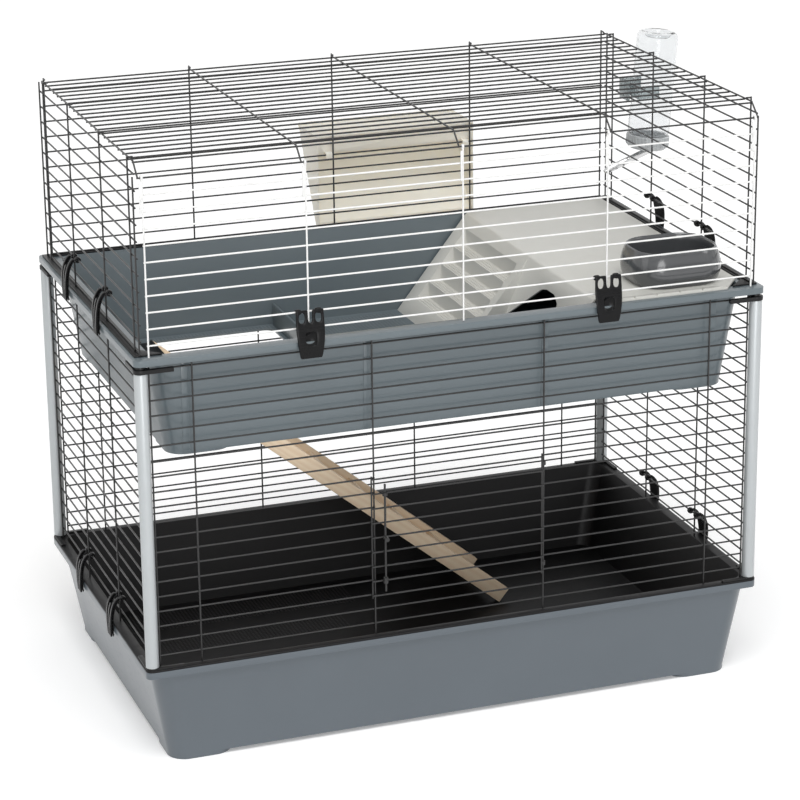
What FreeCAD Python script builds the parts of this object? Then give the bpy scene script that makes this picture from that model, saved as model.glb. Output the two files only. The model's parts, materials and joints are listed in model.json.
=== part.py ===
import FreeCAD
import Part
import Sketcher
import math
import os
from types import SimpleNamespace

from FreeCAD import Placement, Rotation, Vector

# Two-storey rabbit cage. Millimetres, +Z up, front towards -Y.
# The origin is on the floor, in the middle of the lower tub's middle foot.

# Driving sizes: name, value, what it is
SIZES = (
    ("cageLength", 950, "both rims, left to right"),
    ("cageDepth", 570, "both rims, front to back"),
    ("rimRadius", 10, "corner of both rims seen from above"),
    ("tubWall", 3, "wall and floor of both tubs"),
    ("tubRadius", 28, "upright corners of both tubs"),
    ("footHeight", 6, "feet under the lower tub"),
    ("footLength", 95, "corner foot, left to right"),
    ("footDepth", 95, "corner foot, front to back"),
    ("middleFoot", 60, "middle foot, across"),
    ("lowerHeight", 149, "lower tub, floor to rim"),
    ("lowerLip", 10, "rim of the lower tub, thickness"),
    ("lowerTopLength", 932, "lower tub's wall at the rim, outside"),
    ("lowerTopDepth", 558, "lower tub's wall at the rim, outside"),
    ("lowerFloorLength", 880, "lower tub's wall at the floor, outside"),
    ("lowerFloorDepth", 536, "lower tub's wall at the floor, outside"),
    ("traySheet", 3, "wall, floor and flange of the inner tray"),
    ("trayGap", 1, "tray to tub, all round"),
    ("storeyHeight", 458, "lower rim to upper rim"),
    ("upperHeight", 150, "upper tub, feet to rim"),
    ("upperLip", 14, "skirt of the upper rim"),
    ("upperFoot", 2.5, "feet under the upper tub"),
    ("upperTopLength", 900, "upper tub's wall at the rim, outside"),
    ("upperTopDepth", 532, "upper tub's wall at the rim, outside"),
    ("upperFloorLength", 850, "upper tub's wall at the floor, outside"),
    ("upperFloorDepth", 522, "upper tub's wall at the floor, outside"),
    ("hatchLeft", 345, "hatch, left edge from the middle"),
    ("hatchRight", 118, "hatch, right edge from the middle"),
    ("hatchFront", 60, "hatch, front edge from the middle"),
    ("hatchBack", 238, "hatch, back edge from the middle"),
    ("hatchRadius", 15, "corners of the hatch"),
    ("guardHeight", 35, "guard beside the hatch"),
    ("guardThick", 4, "guard beside the hatch"),
    ("guardStep", 6, "guard, from the hatch"),
    ("guardEnd", 100, "guard, short of the hatch's front edge"),
    ("postDia", 19, "corner post"),
    ("postWall", 1.2, "corner post"),
    ("postInset", 10.5, "post's middle from the rim's edges"),
    ("capDia", 21, "cap of a post"),
    ("capHeight", 6, "cap of a post"),
    ("neckDia", 12, "cap's neck inside the skirt"),
    ("plateHeight", 3, "foot plate of a post"),
    ("armLength", 45, "arms of caps and foot plates"),
    ("armWidth", 7, "arms of caps and foot plates"),
    ("spigotLength", 15, "foot plate's spigot in the post"),
    ("spigotGap", 0.3, "spigot to post"),
    ("wireDia", 2.5, "all wires"),
    ("weldBite", 0.5, "how far two crossing wires melt together"),
    ("panelInset", 12, "uprights of the panels from the rim's edge"),
    ("panelGap", 0.3, "lower panels to the posts' caps"),
    ("lowerFirst", 16.4, "lowest wire above the lower rim"),
    ("lowerPitch", 22.3, "lower panels, wire to wire"),
    ("lowerWires", 20, "lower panels, wires"),
    ("upperFirst", 22.1, "lowest wire above the upper rim"),
    ("upperPitch", 23.5, "upper panels, wire to wire"),
    ("upperWires", 11, "upper panels, wires"),
    ("doorHalf", 130.5, "lower doorway, half its width"),
    ("stubEnd", 2, "cut wires, past the doorway's uprights"),
    ("outerUpright", 391.5, "outer uprights of the lower front and back"),
    ("sideUpright", 91, "inner uprights of the sides"),
    ("sideEdge", 5, "edge uprights of the upper sides, from the corner"),
    ("sideDouble", 24, "second uprights of the upper sides, from the first"),
    ("roofRise", 272, "upper rim to roof"),
    ("roofInset", 5, "roof's end wires from the side panels"),
    ("roofStart", 4, "roof's last wire from the back panel"),
    ("roofPitch", 25, "roof, wire to wire"),
    ("roofWires", 22, "roof, long wires"),
    ("bendDrop", 19, "roof's bent front edge, height"),
    ("hookLength", 8, "hooks of the uprights over the roof"),
    ("hookGap", 0.3, "hooks above the roof's wires"),
    ("hingeInset", 8, "roof's lowest wire from the rim's front edge"),
    ("eyeGap", 0.08, "wire eye on its wire"),
    ("eyeWall", 2, "wire eye"),
    ("eyeWide", 3, "wire eye of the upper door"),
    ("doorShift", 5, "upper door's uprights beside the roof's wires"),
    ("doorClear", 2.3, "upper door above the rim"),
    ("doorFirst", 18.1, "upper door's lowest wire above the rim"),
    ("doorWires", 10, "upper door, wires"),
    ("gateStart", 2, "lower door's lowest wire, counted in the panel"),
    ("gateWires", 9, "lower door, wires"),
    ("gateStep", 2.5, "lower door's uprights in front of the panel's"),
    ("gateSide", 3.5, "lower door's right upright from its hinge"),
    ("gateLap", 4.5, "lower door's left upright past the doorway"),
    ("gateEnd", 4, "lower door's uprights past its wires"),
    ("gateEye", 6, "height of the lower door's eyes"),
    ("boltDia", 3.2, "sliding latch of the lower door"),
    ("boltSide", 13.5, "latch from the doorway's left edge"),
    ("boltTop", 15, "latch past its guides"),
    ("boltKnob", 9, "latch's knob, length"),
    ("guideHigh", 5, "latch's guides"),
    ("collarGap", 0.3, "latch's collar above its lower guide"),
    ("frameHeight", 2.5, "black rim frame"),
    ("frameOut", 7, "rim frame outside the panels' uprights"),
    ("frameBack", 4, "rim frame behind the back panel's uprights"),
    ("frameIn", 7, "rim frame inside the panels' uprights"),
    ("gusset", 26, "corner plates of the rim frame"),
    ("clipWidth", 30, "side clips"),
    ("latchWidth", 42, "front latches"),
    ("prongWidth", 8, "prongs of the clips"),
    ("prongStep", 22, "side clips, prong to prong"),
    ("latchStep", 30, "front latches, prong to prong"),
    ("prongOut", 4.2, "round end of a prong, radius"),
    ("clipSheet", 4, "clips, thickness"),
    ("clipGap", 0.4, "clip to the rim's side"),
    ("clipLip", 2, "clip's lip under the rim"),
    ("clipDrop", 1, "clip's lip below the rim"),
    ("clipBulge", 5, "clips, bulge outside the rim"),
    ("clipTail", 3, "side clips below their lip"),
    ("latchTail", 9, "front latches below their lip"),
    ("sheet", 3, "shelter, thickness"),
    ("shelterLeft", 215, "shelter's platform, left edge"),
    ("shelterRight", 452, "shelter's platform, right edge"),
    ("shelterFront", 274, "shelter's platform, front edge"),
    ("shelterBack", 265, "shelter's platform, back edge"),
    ("shelterCut", 42, "shelter's cut front corner"),
    ("rampFoot", 97, "foot of the ramp"),
    ("rampFront", 8, "front of the ramp, before the middle"),
    ("rampBack", 255, "back of the ramp"),
    ("wallFoot", 150, "foot of the shelter's front wall"),
    ("stepWidth", 217, "steps of the ramp"),
    ("stepRise", 26.5, "steps of the ramp, one to the next"),
    ("stepLow", 25.5, "lowest tread above the floor"),
    ("stepEdge", 33, "steps from the ramp's back edge"),
    ("stepCount", 4, "steps of the ramp"),
    ("archFront", 163, "arched doorway, front side"),
    ("archBack", 16, "arched doorway, back side"),
    ("archTop", 122, "arched doorway, height"),
    ("archRound", 28, "arched doorway, front corner"),
    ("archSlope", 60, "arched doorway, slanted side"),
    ("bowlLength", 140, "bowl at its belly"),
    ("bowlDepth", 120, "bowl at its belly"),
    ("bowlTuck", 14, "bowl's foot smaller than its belly"),
    ("bowlDraw", 20, "bowl's top smaller than its belly"),
    ("bowlBelly", 22, "bowl's belly above its foot"),
    ("bowlHeight", 62, "bowl"),
    ("bowlWall", 4, "bowl's rim"),
    ("bowlFloor", 6, "bowl"),
    ("bowlRadius", 44, "bowl's upright corners"),
    ("bowlX", 362, "bowl's middle"),
    ("bowlY", 198, "bowl's middle, in front of the cage's"),
    ("rackLength", 262, "hay rack"),
    ("rackDepth", 85, "hay rack"),
    ("rackHeight", 142, "hay rack"),
    ("rackWall", 2.5, "hay rack"),
    ("rackLean", 29, "hay rack's back, degrees from upright"),
    ("rackCollar", 14, "upright top of the hay rack's back"),
    ("rackX", 106, "hay rack's middle"),
    ("rackGap", 3, "hay rack behind the back panel's uprights"),
    ("rackHook", 10, "hay rack's hooks, width"),
    ("rackHookIn", 12, "hay rack's hooks from its ends"),
    ("hookWire", 4, "wire of the back panel that carries the rack"),
    ("lidSheet", 3, "rack's lid"),
    ("lidGap", 0.3, "lid above the rack"),
    ("lidPin", 4, "lid's hinge pin"),
    ("lidKnuckle", 9, "lid's hinge, outside"),
    ("lidEar", 10, "rack's hinge ears, width"),
    ("bottleDia", 66, "water bottle"),
    ("bottleTall", 166, "water bottle without its cap"),
    ("bottleWall", 1.5, "water bottle"),
    ("bottleY", 185, "bottle, behind the middle"),
    ("bottleGap", 0.6, "cap to the right panel's wires"),
    ("bottleTilt", 5, "bottle's lean in degrees"),
    ("capTall", 22, "bottle's cap"),
    ("capRim", 1.5, "bottle's cap outside the bottle"),
    ("spoutDia", 11, "spout"),
    ("spoutBore", 7, "spout's ball end, across"),
    ("spoutBall", 2.5, "spout's ball end, past the tube"),
    ("spoutLong", 76, "spout"),
    ("spoutFall", 20, "spout's slope in degrees"),
    ("spoutWire", 2.5, "spout's height in the right panel's wires"),
    ("holderWire", 7.5, "bottle holder's height in the right panel's wires"),
    ("holderTall", 20, "bottle holder"),
    ("holderSheet", 3, "bottle holder"),
    ("holderGap", 0.6, "bottle to its holder"),
    ("holderReach", 38, "arms of the bottle holder"),
    ("linkTall", 14, "holder's link between the wires"),
    ("ladderSlope", 39.4, "ladder's slope in degrees"),
    ("ladderLong", 690, "ladder"),
    ("ladderFoot", 202, "ladder's foot from the middle"),
    ("ladderFront", 78, "ladder's front side"),
    ("ladderWide", 150, "ladder, side to side"),
    ("railThick", 12, "ladder's rails"),
    ("railTall", 26, "ladder's rails"),
    ("boardLow", 5, "ladder's board above the rails' lower edge"),
    ("boardThick", 6, "ladder's board"),
    ("cleatTall", 9, "ladder's cleats"),
    ("cleatLong", 10, "ladder's cleats along the slope"),
    ("cleatPitch", 87, "cleat to cleat"),
    ("cleatFirst", 60, "first cleat from the ladder's top"),
    ("hookPlate", 30, "ladder's hook on the floor"),
    ("hookSheet", 3, "ladder's hook"),
    ("hookSeat", 0.2, "ladder's hook to its rails"),
)


class Size:
    """A length with its formula in the sheet's names and its value now."""

    def __init__(self, formula, value):
        self.formula = formula
        self.value = value

    def __add__(self, other):
        other = as_size(other)
        return Size("(%s + %s)" % (self.formula, other.formula), self.value + other.value)

    def __sub__(self, other):
        other = as_size(other)
        return Size("(%s - %s)" % (self.formula, other.formula), self.value - other.value)

    def __mul__(self, other):
        other = as_size(other)
        return Size("(%s * %s)" % (self.formula, other.formula), self.value * other.value)

    def __truediv__(self, other):
        other = as_size(other)
        return Size("(%s / %s)" % (self.formula, other.formula), self.value / other.value)

    def __neg__(self):
        return Size("(0 - %s)" % self.formula, -self.value)

    def __radd__(self, other):
        return as_size(other) + self

    def __rsub__(self, other):
        return as_size(other) - self

    def __rmul__(self, other):
        return as_size(other) * self


def as_size(value):
    if isinstance(value, Size):
        return value
    return Size("(%s)" % value, float(value))


def cos_of(angle):
    return Size("cos(%s * 1 deg)" % angle.formula, math.cos(math.radians(angle.value)))


def sin_of(angle):
    return Size("sin(%s * 1 deg)" % angle.formula, math.sin(math.radians(angle.value)))


doc = FreeCAD.newDocument("rabbit_cage")
sheet = doc.addObject("Spreadsheet::Sheet", "Dim")
for row, (alias, number, note) in enumerate(SIZES, 1):
    sheet.set("A%d" % row, note)
    sheet.set("B%d" % row, str(number))
    sheet.setAlias("B%d" % row, alias)
doc.recompute()
D = SimpleNamespace(**{alias: Size("Dim." + alias, float(number)) for alias, number, _ in SIZES})
parts = []


def bind(thing, prop, value):
    thing.setExpression(prop, as_size(value).formula)


def turn_by(thing, prop, axis, degrees):
    setattr(thing, prop, Placement(Vector(0, 0, 0), Rotation(Vector(*axis), degrees.value)))
    thing.setExpression(prop + ".Rotation.Angle", "%s * 1 deg" % degrees.formula)


def place(thing, x=0, y=0, z=0, axis=None, degrees=None):
    if axis is not None:
        turn_by(thing, "Placement", axis, as_size(degrees))
    for letter, value in zip("xyz", (x, y, z)):
        bind(thing, "Placement.Base." + letter, value)


def new_body(name):
    body = doc.addObject("PartDesign::Body", name)
    body.Label = name
    parts.append(body)
    return body


def datum(body, role):
    return next(f for f in body.Origin.OriginFeatures if f.Role == role)


def new_sketch(body, role, lift=0):
    sketch = body.newObject("Sketcher::SketchObject", body.Name + "_sketch")
    sketch.AttachmentSupport = [(datum(body, role), "")]
    sketch.MapMode = "FlatFace"
    bind(sketch, "AttachmentOffset.Base.z", lift)
    return sketch


def hold(sketch, kind, where, value):
    value = as_size(value)
    number = sketch.addConstraint(Sketcher.Constraint(kind, *where, value.value))
    sketch.setExpression("Constraints[%d]" % number, value.formula)


def add_circle(sketch, u, v, radius):
    u, v, radius = as_size(u), as_size(v), as_size(radius)
    centre = Vector(u.value, v.value, 0)
    item = sketch.addGeometry(Part.Circle(centre, Vector(0, 0, 1), radius.value), False)
    hold(sketch, "DistanceX", (-1, 1, item, 3), u)
    hold(sketch, "DistanceY", (-1, 1, item, 3), v)
    hold(sketch, "Radius", (item,), radius)


def add_chain(sketch, points, closed=True):
    points = [(as_size(u), as_size(v)) for u, v in points]
    spots = [Vector(u.value, v.value, 0) for u, v in points]
    first = sketch.GeometryCount
    count = len(spots) if closed else len(spots) - 1
    for k in range(count):
        line = Part.LineSegment(spots[k], spots[(k + 1) % len(spots)])
        sketch.addGeometry(line, False)
    for k in range(count if closed else count - 1):
        follower = first + (k + 1) % count
        sketch.addConstraint(Sketcher.Constraint("Coincident", first + k, 2, follower, 1))
    for k, (u, v) in enumerate(points):
        end = (first + k, 1) if k < count else (first + k - 1, 2)
        hold(sketch, "DistanceX", (-1, 1) + end, u)
        hold(sketch, "DistanceY", (-1, 1) + end, v)


def add_box(sketch, left, low, right, high):
    add_chain(sketch, ((left, low), (right, low), (right, high), (left, high)))


def add_round_box(sketch, u, v, width, depth, radius):
    u, v, radius = as_size(u), as_size(v), as_size(radius)
    left, right = u - width / 2, u + width / 2
    low, high = v - depth / 2, v + depth / 2
    r = radius.value
    x0, x1, y0, y1 = left.value, right.value, low.value, high.value
    first = sketch.GeometryCount

    def line(ax, ay, bx, by):
        sketch.addGeometry(Part.LineSegment(Vector(ax, ay, 0), Vector(bx, by, 0)), False)

    def arc(cx, cy, start):
        ring = Part.Circle(Vector(cx, cy, 0), Vector(0, 0, 1), r)
        turn = math.radians(start)
        sketch.addGeometry(Part.ArcOfCircle(ring, turn, turn + math.pi / 2), False)

    line(x0 + r, y0, x1 - r, y0)
    arc(x1 - r, y0 + r, -90)
    line(x1, y0 + r, x1, y1 - r)
    arc(x1 - r, y1 - r, 0)
    line(x1 - r, y1, x0 + r, y1)
    arc(x0 + r, y1 - r, 90)
    line(x0, y1 - r, x0, y0 + r)
    arc(x0 + r, y0 + r, 180)
    for k in range(8):
        follower = first + (k + 1) % 8
        sketch.addConstraint(Sketcher.Constraint("Tangent", first + k, 2, follower, 1))
    for k in (0, 4):
        sketch.addConstraint(Sketcher.Constraint("Horizontal", first + k))
    for k in (2, 6):
        sketch.addConstraint(Sketcher.Constraint("Vertical", first + k))
    for k in (3, 5, 7):
        sketch.addConstraint(Sketcher.Constraint("Equal", first + 1, first + k))
    hold(sketch, "Radius", (first + 1,), radius)
    hold(sketch, "DistanceY", (-1, 1, first, 1), low)
    hold(sketch, "DistanceX", (-1, 1, first + 2, 1), right)
    hold(sketch, "DistanceY", (-1, 1, first + 4, 1), high)
    hold(sketch, "DistanceX", (-1, 1, first + 6, 1), left)


def feature(body, kind, sketch, length, both, flip):
    made = body.newObject("PartDesign::" + kind, body.Name + "_" + kind.lower())
    made.Profile = sketch
    bind(made, "Length", length)
    made.Midplane = both
    made.Reversed = flip
    body.Tip = made
    return made


def pad(body, sketch, length, both=False, flip=False):
    return feature(body, "Pad", sketch, length, both, flip)


def pocket(body, sketch, length, both=False, flip=False):
    doc.recompute()
    before = body.Shape.Volume
    made = feature(body, "Pocket", sketch, length, both, flip)
    doc.recompute()
    if made.Shape.Volume > before - 1e-6:
        raise RuntimeError("a pocket of %s cuts nothing" % body.Label)
    return made


def loft(body, kind, low, high):
    made = body.newObject("PartDesign::" + kind, body.Name + "_" + kind.lower())
    made.Profile = low
    made.Sections = [high]
    made.Ruled = True
    body.Tip = made
    return made


def spin(body, sketch):
    made = body.newObject("PartDesign::Revolution", body.Name + "_turned")
    made.Profile = sketch
    made.ReferenceAxis = (datum(body, "Z_Axis"), [""])
    made.Angle = 360
    body.Tip = made
    return made


def row_of(body, original, axis, length, count):
    made = body.newObject("PartDesign::LinearPattern", body.Name + "_row")
    made.Originals = [original]
    made.Direction = (datum(body, axis), [""])
    bind(made, "Length", length)
    bind(made, "Occurrences", count)
    body.Tip = made
    return made


# Levels and planes that several pieces share
half_length = D.cageLength / 2
half_depth = D.cageDepth / 2
lower_rim = D.lowerHeight + D.traySheet
upper_rim = lower_rim + D.storeyHeight
roof_level = upper_rim + D.roofRise
tray_floor = D.footHeight + D.tubWall + D.trayGap + D.traySheet
upper_base = upper_rim - D.upperHeight
upper_floor = upper_base + D.upperFoot + D.tubWall
panel_x = half_length - D.panelInset
panel_y = half_depth - D.panelInset
weld = D.wireDia - D.weldBite
wire = D.wireDia / 2
post_x = half_length - D.postInset
post_y = half_depth - D.postInset
eye_bore = wire + D.eyeGap
eye_out = eye_bore + D.eyeWall


def tub(name, height, lip, foot, top, floor, solid_lip):
    """A tub on feet: drawn wall, rim and a hollow inside."""
    body = new_body(name)
    low = new_sketch(body, "XY_Plane", foot)
    add_round_box(low, 0, 0, floor[0], floor[1], D.tubRadius)
    high = new_sketch(body, "XY_Plane", height)
    add_round_box(high, 0, 0, top[0], top[1], D.tubRadius)
    loft(body, "AdditiveLoft", low, high)
    rim = new_sketch(body, "XY_Plane", height - lip)
    add_round_box(rim, 0, 0, D.cageLength, D.cageDepth, D.rimRadius)
    pad(body, rim, lip)
    inner = D.tubRadius - D.tubWall
    low = new_sketch(body, "XY_Plane", foot + D.tubWall)
    add_round_box(low, 0, 0, floor[0] - D.tubWall * 2, floor[1] - D.tubWall * 2, inner)
    high = new_sketch(body, "XY_Plane", height)
    add_round_box(high, 0, 0, top[0] - D.tubWall * 2, top[1] - D.tubWall * 2, inner)
    loft(body, "SubtractiveLoft", low, high)
    if not solid_lip:
        under = new_sketch(body, "XY_Plane", height - lip)
        hollow_length = D.cageLength - D.tubWall * 2
        hollow_depth = D.cageDepth - D.tubWall * 2
        add_round_box(under, 0, 0, hollow_length, hollow_depth, D.rimRadius - D.tubWall)
        add_round_box(under, 0, 0, top[0], top[1], D.tubRadius)
        pocket(body, under, lip - D.tubWall, flip=True)
    across = floor[0] - D.footLength
    deep = floor[1] - D.footDepth
    corner = new_sketch(body, "XY_Plane")
    add_round_box(corner, -across / 2, -deep / 2, D.footLength, D.footDepth, D.tubRadius)
    foot_pad = pad(body, corner, foot + D.tubWall / 2)
    feet = row_of(body, foot_pad, "X_Axis", across, 2)
    feet.Direction2 = (datum(body, "Y_Axis"), [""])
    bind(feet, "Length2", deep)
    feet.Occurrences2 = 2
    return body


# Lower tub, with a middle foot that carries the origin
lower_top = (D.lowerTopLength, D.lowerTopDepth)
lower_floor_size = (D.lowerFloorLength, D.lowerFloorDepth)
lower_tub = tub("lower_tub", D.lowerHeight, D.lowerLip, D.footHeight, lower_top,
                lower_floor_size, True)
middle = new_sketch(lower_tub, "XY_Plane")
add_circle(middle, 0, 0, D.middleFoot / 2)
pad(lower_tub, middle, D.footHeight + D.tubWall / 2)

# Black tray inside the lower tub, with a flange over the rim
tray = new_body("lower_tray")
shrink = (D.tubWall + D.trayGap) * 2
tray_radius = D.tubRadius - D.tubWall - D.trayGap
tray_low = tray_floor - D.traySheet
outside = new_sketch(tray, "XY_Plane", tray_low)
add_round_box(outside, 0, 0, D.lowerFloorLength - shrink, D.lowerFloorDepth - shrink, tray_radius)
mouth = new_sketch(tray, "XY_Plane", lower_rim)
add_round_box(mouth, 0, 0, D.lowerTopLength - shrink, D.lowerTopDepth - shrink, tray_radius)
loft(tray, "AdditiveLoft", outside, mouth)
flange = new_sketch(tray, "XY_Plane", D.lowerHeight)
add_round_box(flange, 0, 0, D.cageLength, D.cageDepth, D.rimRadius)
pad(tray, flange, D.traySheet)
shrink = shrink + D.traySheet * 2
inside = new_sketch(tray, "XY_Plane", tray_floor)
inside_radius = tray_radius - D.traySheet
add_round_box(inside, 0, 0, D.lowerFloorLength - shrink, D.lowerFloorDepth - shrink, inside_radius)
mouth = new_sketch(tray, "XY_Plane", lower_rim)
add_round_box(mouth, 0, 0, D.lowerTopLength - shrink, D.lowerTopDepth - shrink, inside_radius)
loft(tray, "SubtractiveLoft", inside, mouth)

# Upper tub with its hatch
upper_top = (D.upperTopLength, D.upperTopDepth)
upper_floor_size = (D.upperFloorLength, D.upperFloorDepth)
upper_tub = tub("upper_tub", D.upperHeight, D.upperLip, D.upperFoot, upper_top,
                upper_floor_size, False)
hatch = new_sketch(upper_tub, "XY_Plane", D.upperFoot + D.tubWall * 2)
hatch_length = D.hatchLeft - D.hatchRight
hatch_depth = D.hatchFront + D.hatchBack
hatch_x = -(D.hatchLeft + D.hatchRight) / 2
hatch_y = (D.hatchBack - D.hatchFront) / 2
add_round_box(hatch, hatch_x, hatch_y, hatch_length, hatch_depth, D.hatchRadius)
pocket(upper_tub, hatch, D.upperFoot + D.tubWall * 2)
place(upper_tub, z=upper_base)

# Guard wall on the hatch's right side
guard = new_body("hatch_guard")
outline = new_sketch(guard, "XY_Plane")
guard_back = D.upperFloorDepth / 2 - D.tubWall * 2
add_box(outline, 0, D.guardEnd - D.hatchFront, D.guardThick, guard_back)
pad(guard, outline, D.guardHeight)
place(guard, x=-D.hatchRight + D.guardStep, z=upper_floor)


def arms(body, height, sign_x, sign_y):
    """Two flat arms from a post's middle along both rims, outside the panels."""
    out = D.postDia / 2
    near = out - D.armWidth
    for x0, y0, x1, y1 in ((-D.armLength, near, 0, out), (near, -D.armLength, out, 0)):
        plan = new_sketch(body, "XY_Plane")
        add_box(plan, x0 * sign_x, y0 * sign_y, x1 * sign_x, y1 * sign_y)
        pad(body, plan, height)


post_low = lower_rim + D.plateHeight
post_high = upper_rim - D.upperLip - D.capHeight
for tag, sign_x, sign_y in (("fl", -1, -1), ("fr", 1, -1), ("bl", -1, 1), ("br", 1, 1)):
    corner_x = post_x * sign_x
    corner_y = post_y * sign_y
    post = new_body("post_" + tag)
    ring = new_sketch(post, "XY_Plane")
    add_circle(ring, 0, 0, D.postDia / 2)
    add_circle(ring, 0, 0, D.postDia / 2 - D.postWall)
    pad(post, ring, post_high - post_low)
    place(post, corner_x, corner_y, post_low)

    foot = new_body("post_foot_" + tag)
    disc = new_sketch(foot, "XY_Plane")
    add_circle(disc, 0, 0, D.postDia / 2)
    pad(foot, disc, D.plateHeight)
    spigot_radius = D.postDia / 2 - D.postWall - D.spigotGap
    spigot = new_sketch(foot, "XY_Plane")
    add_circle(spigot, 0, 0, spigot_radius)
    pad(foot, spigot, D.plateHeight + D.spigotLength)
    arms(foot, D.plateHeight, sign_x, sign_y)
    place(foot, corner_x, corner_y, lower_rim)

    cap = new_body("post_cap_" + tag)
    disc = new_sketch(cap, "XY_Plane")
    add_circle(disc, 0, 0, D.capDia / 2)
    pad(cap, disc, D.capHeight)
    neck = new_sketch(cap, "XY_Plane")
    add_circle(neck, 0, 0, D.neckDia / 2)
    pad(cap, neck, D.capHeight + D.upperLip - D.tubWall)
    arms(cap, D.capHeight, sign_x, sign_y)
    place(cap, corner_x, corner_y, post_high)


def wires(body, along, spots, length, lift=0):
    """Straight wires along X, Y or Z, centred or rising, at the given spots."""
    role = {"X": "YZ_Plane", "Y": "XZ_Plane", "Z": "XY_Plane"}[along]
    sketch = new_sketch(body, role, lift)
    for u, v in spots:
        add_circle(sketch, u, v, wire)
    made = pad(body, sketch, length, both=along != "Z")
    made.Refine = False
    return made


def bars(body, along, inward, length, first, pitch, count):
    """The level wires of a panel, one above the other, inside its uprights."""
    one = wires(body, along, [(weld * inward, first)], length)
    made = row_of(body, one, "Z_Axis", pitch * (count - 1), count)
    made.Refine = False
    return made


# Lower panels between the posts
lower_tall = D.storeyHeight - D.tubWall
lower_front_half = post_x - D.capDia / 2 - D.panelGap
lower_side_half = post_y - D.capDia / 2 - D.panelGap
front_uprights = [D.doorHalf, D.outerUpright, lower_front_half - wire]
side_uprights = [D.sideUpright, lower_side_half - wire]
gate_low = D.lowerFirst + D.lowerPitch * D.gateStart
gate_high = gate_low + D.lowerPitch * (D.gateWires - 1)

for name, inward, doorway in (("lower_front_panel", 1, True), ("lower_back_panel", -1, False)):
    panel = new_body(name)
    bars(panel, "X", inward, lower_front_half * 2, D.lowerFirst, D.lowerPitch, D.lowerWires)
    if doorway:
        opening = new_sketch(panel, "XZ_Plane")
        edge = D.lowerPitch / 2
        cut_half = D.doorHalf - D.stubEnd
        add_box(opening, -cut_half, gate_low - edge, cut_half, gate_high + edge)
        pocket(panel, opening, D.panelInset, both=True)
    wires(panel, "Z", [(x * s, 0) for x in front_uprights for s in (-1, 1)], lower_tall)
    place(panel, y=panel_y * -inward, z=lower_rim)

for name, inward in (("lower_left_panel", 1), ("lower_right_panel", -1)):
    panel = new_body(name)
    bars(panel, "Y", inward, lower_side_half * 2, D.lowerFirst, D.lowerPitch, D.lowerWires)
    wires(panel, "Z", [(0, y * s) for y in side_uprights for s in (-1, 1)], lower_tall)
    place(panel, x=panel_x * -inward, z=lower_rim)

# Black frame on the upper rim, under the upper panels
frame = new_body("rim_frame")
outline = new_sketch(frame, "XY_Plane")
out_x = panel_x + D.frameOut
in_x = panel_x - D.frameIn
back_y = panel_y + D.frameBack
in_y = panel_y - D.frameIn
front_y = -panel_y + D.frameIn
add_chain(outline, (
    (-out_x, front_y), (-in_x + D.gusset, front_y), (-in_x, front_y + D.gusset), (-in_x, in_y),
    (in_x, in_y), (in_x, front_y + D.gusset), (in_x - D.gusset, front_y), (out_x, front_y),
    (out_x, back_y), (-out_x, back_y)))
pad(frame, outline, D.frameHeight)
place(frame, z=upper_rim)

# Upper panels, whose uprights hook over the roof
upper_tall = D.roofRise - D.frameHeight
hook_level = upper_tall + D.wireDia + D.hookGap
edge_y = panel_y - D.sideEdge
side_half = edge_y + wire
roof_edge = panel_x - D.roofInset
back_edge = panel_x - D.frameIn - wire
upper_first = D.upperFirst - D.frameHeight
base_wire = wire

for name, inward in (("upper_left_panel", 1), ("upper_right_panel", -1)):
    panel = new_body(name)
    bars(panel, "Y", inward, side_half * 2, upper_first, D.upperPitch, D.upperWires)
    wires(panel, "Y", [(weld * inward, base_wire)], side_half * 2)
    hooked = [edge_y - D.sideDouble, D.sideUpright, -D.sideUpright, D.sideDouble - edge_y]
    wires(panel, "Z", [(0, y) for y in hooked], hook_level + wire)
    wires(panel, "Z", [(0, edge_y)], upper_tall)
    wires(panel, "Z", [(0, -edge_y)], upper_tall - D.bendDrop)
    hooks = new_sketch(panel, "YZ_Plane")
    for y in hooked:
        add_circle(hooks, y, hook_level, wire)
    pad(panel, hooks, D.hookLength, flip=inward < 0).Refine = False
    place(panel, x=panel_x * -inward, z=upper_rim + D.frameHeight)

panel = new_body("upper_back_panel")
bars(panel, "X", -1, (back_edge + wire) * 2, upper_first, D.upperPitch, D.upperWires)
wires(panel, "X", [(-weld, base_wire)], (back_edge + wire) * 2)
hooked = [as_size(0), roof_edge / 2, -roof_edge / 2, back_edge, -back_edge]
wires(panel, "Z", [(x, 0) for x in hooked], hook_level + wire)
hooks = new_sketch(panel, "XZ_Plane")
for x in hooked:
    add_circle(hooks, x, hook_level, wire)
pad(panel, hooks, D.hookLength).Refine = False
place(panel, y=panel_y, z=upper_rim + D.frameHeight)

# Roof: long wires under five cross wires that bend down at the front
hinge_y = half_depth - D.hingeInset
roof_back = panel_y - D.roofStart
bend_y = roof_back - D.roofPitch * (D.roofWires - 1)
roof = new_body("roof")
one = wires(roof, "X", [(roof_back, -weld)], (roof_edge + wire) * 2)
rows = row_of(roof, one, "Y_Axis", D.roofPitch * (D.roofWires - 1), D.roofWires)
rows.Reversed = True
rows.Refine = False
wires(roof, "X", [(-hinge_y, -D.bendDrop)], (roof_edge + wire) * 2)
path = new_sketch(roof, "YZ_Plane", -roof_edge)
add_chain(path, ((roof_back + wire, 0), (bend_y, 0), (-hinge_y, -D.bendDrop)), closed=False)
section = new_sketch(roof, "XZ_Plane", -(roof_back + wire))
add_circle(section, -roof_edge, 0, wire)
bent = roof.newObject("PartDesign::AdditivePipe", "roof_bent")
bent.Profile = section
bent.Spine = (path, ["Edge1", "Edge2"])
bent.Transition = "Round corner"
bent.Refine = False
roof.Tip = bent
rows = row_of(roof, bent, "X_Axis", roof_edge * 2, 5)
rows.Refine = False
place(roof, z=roof_level)

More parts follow.
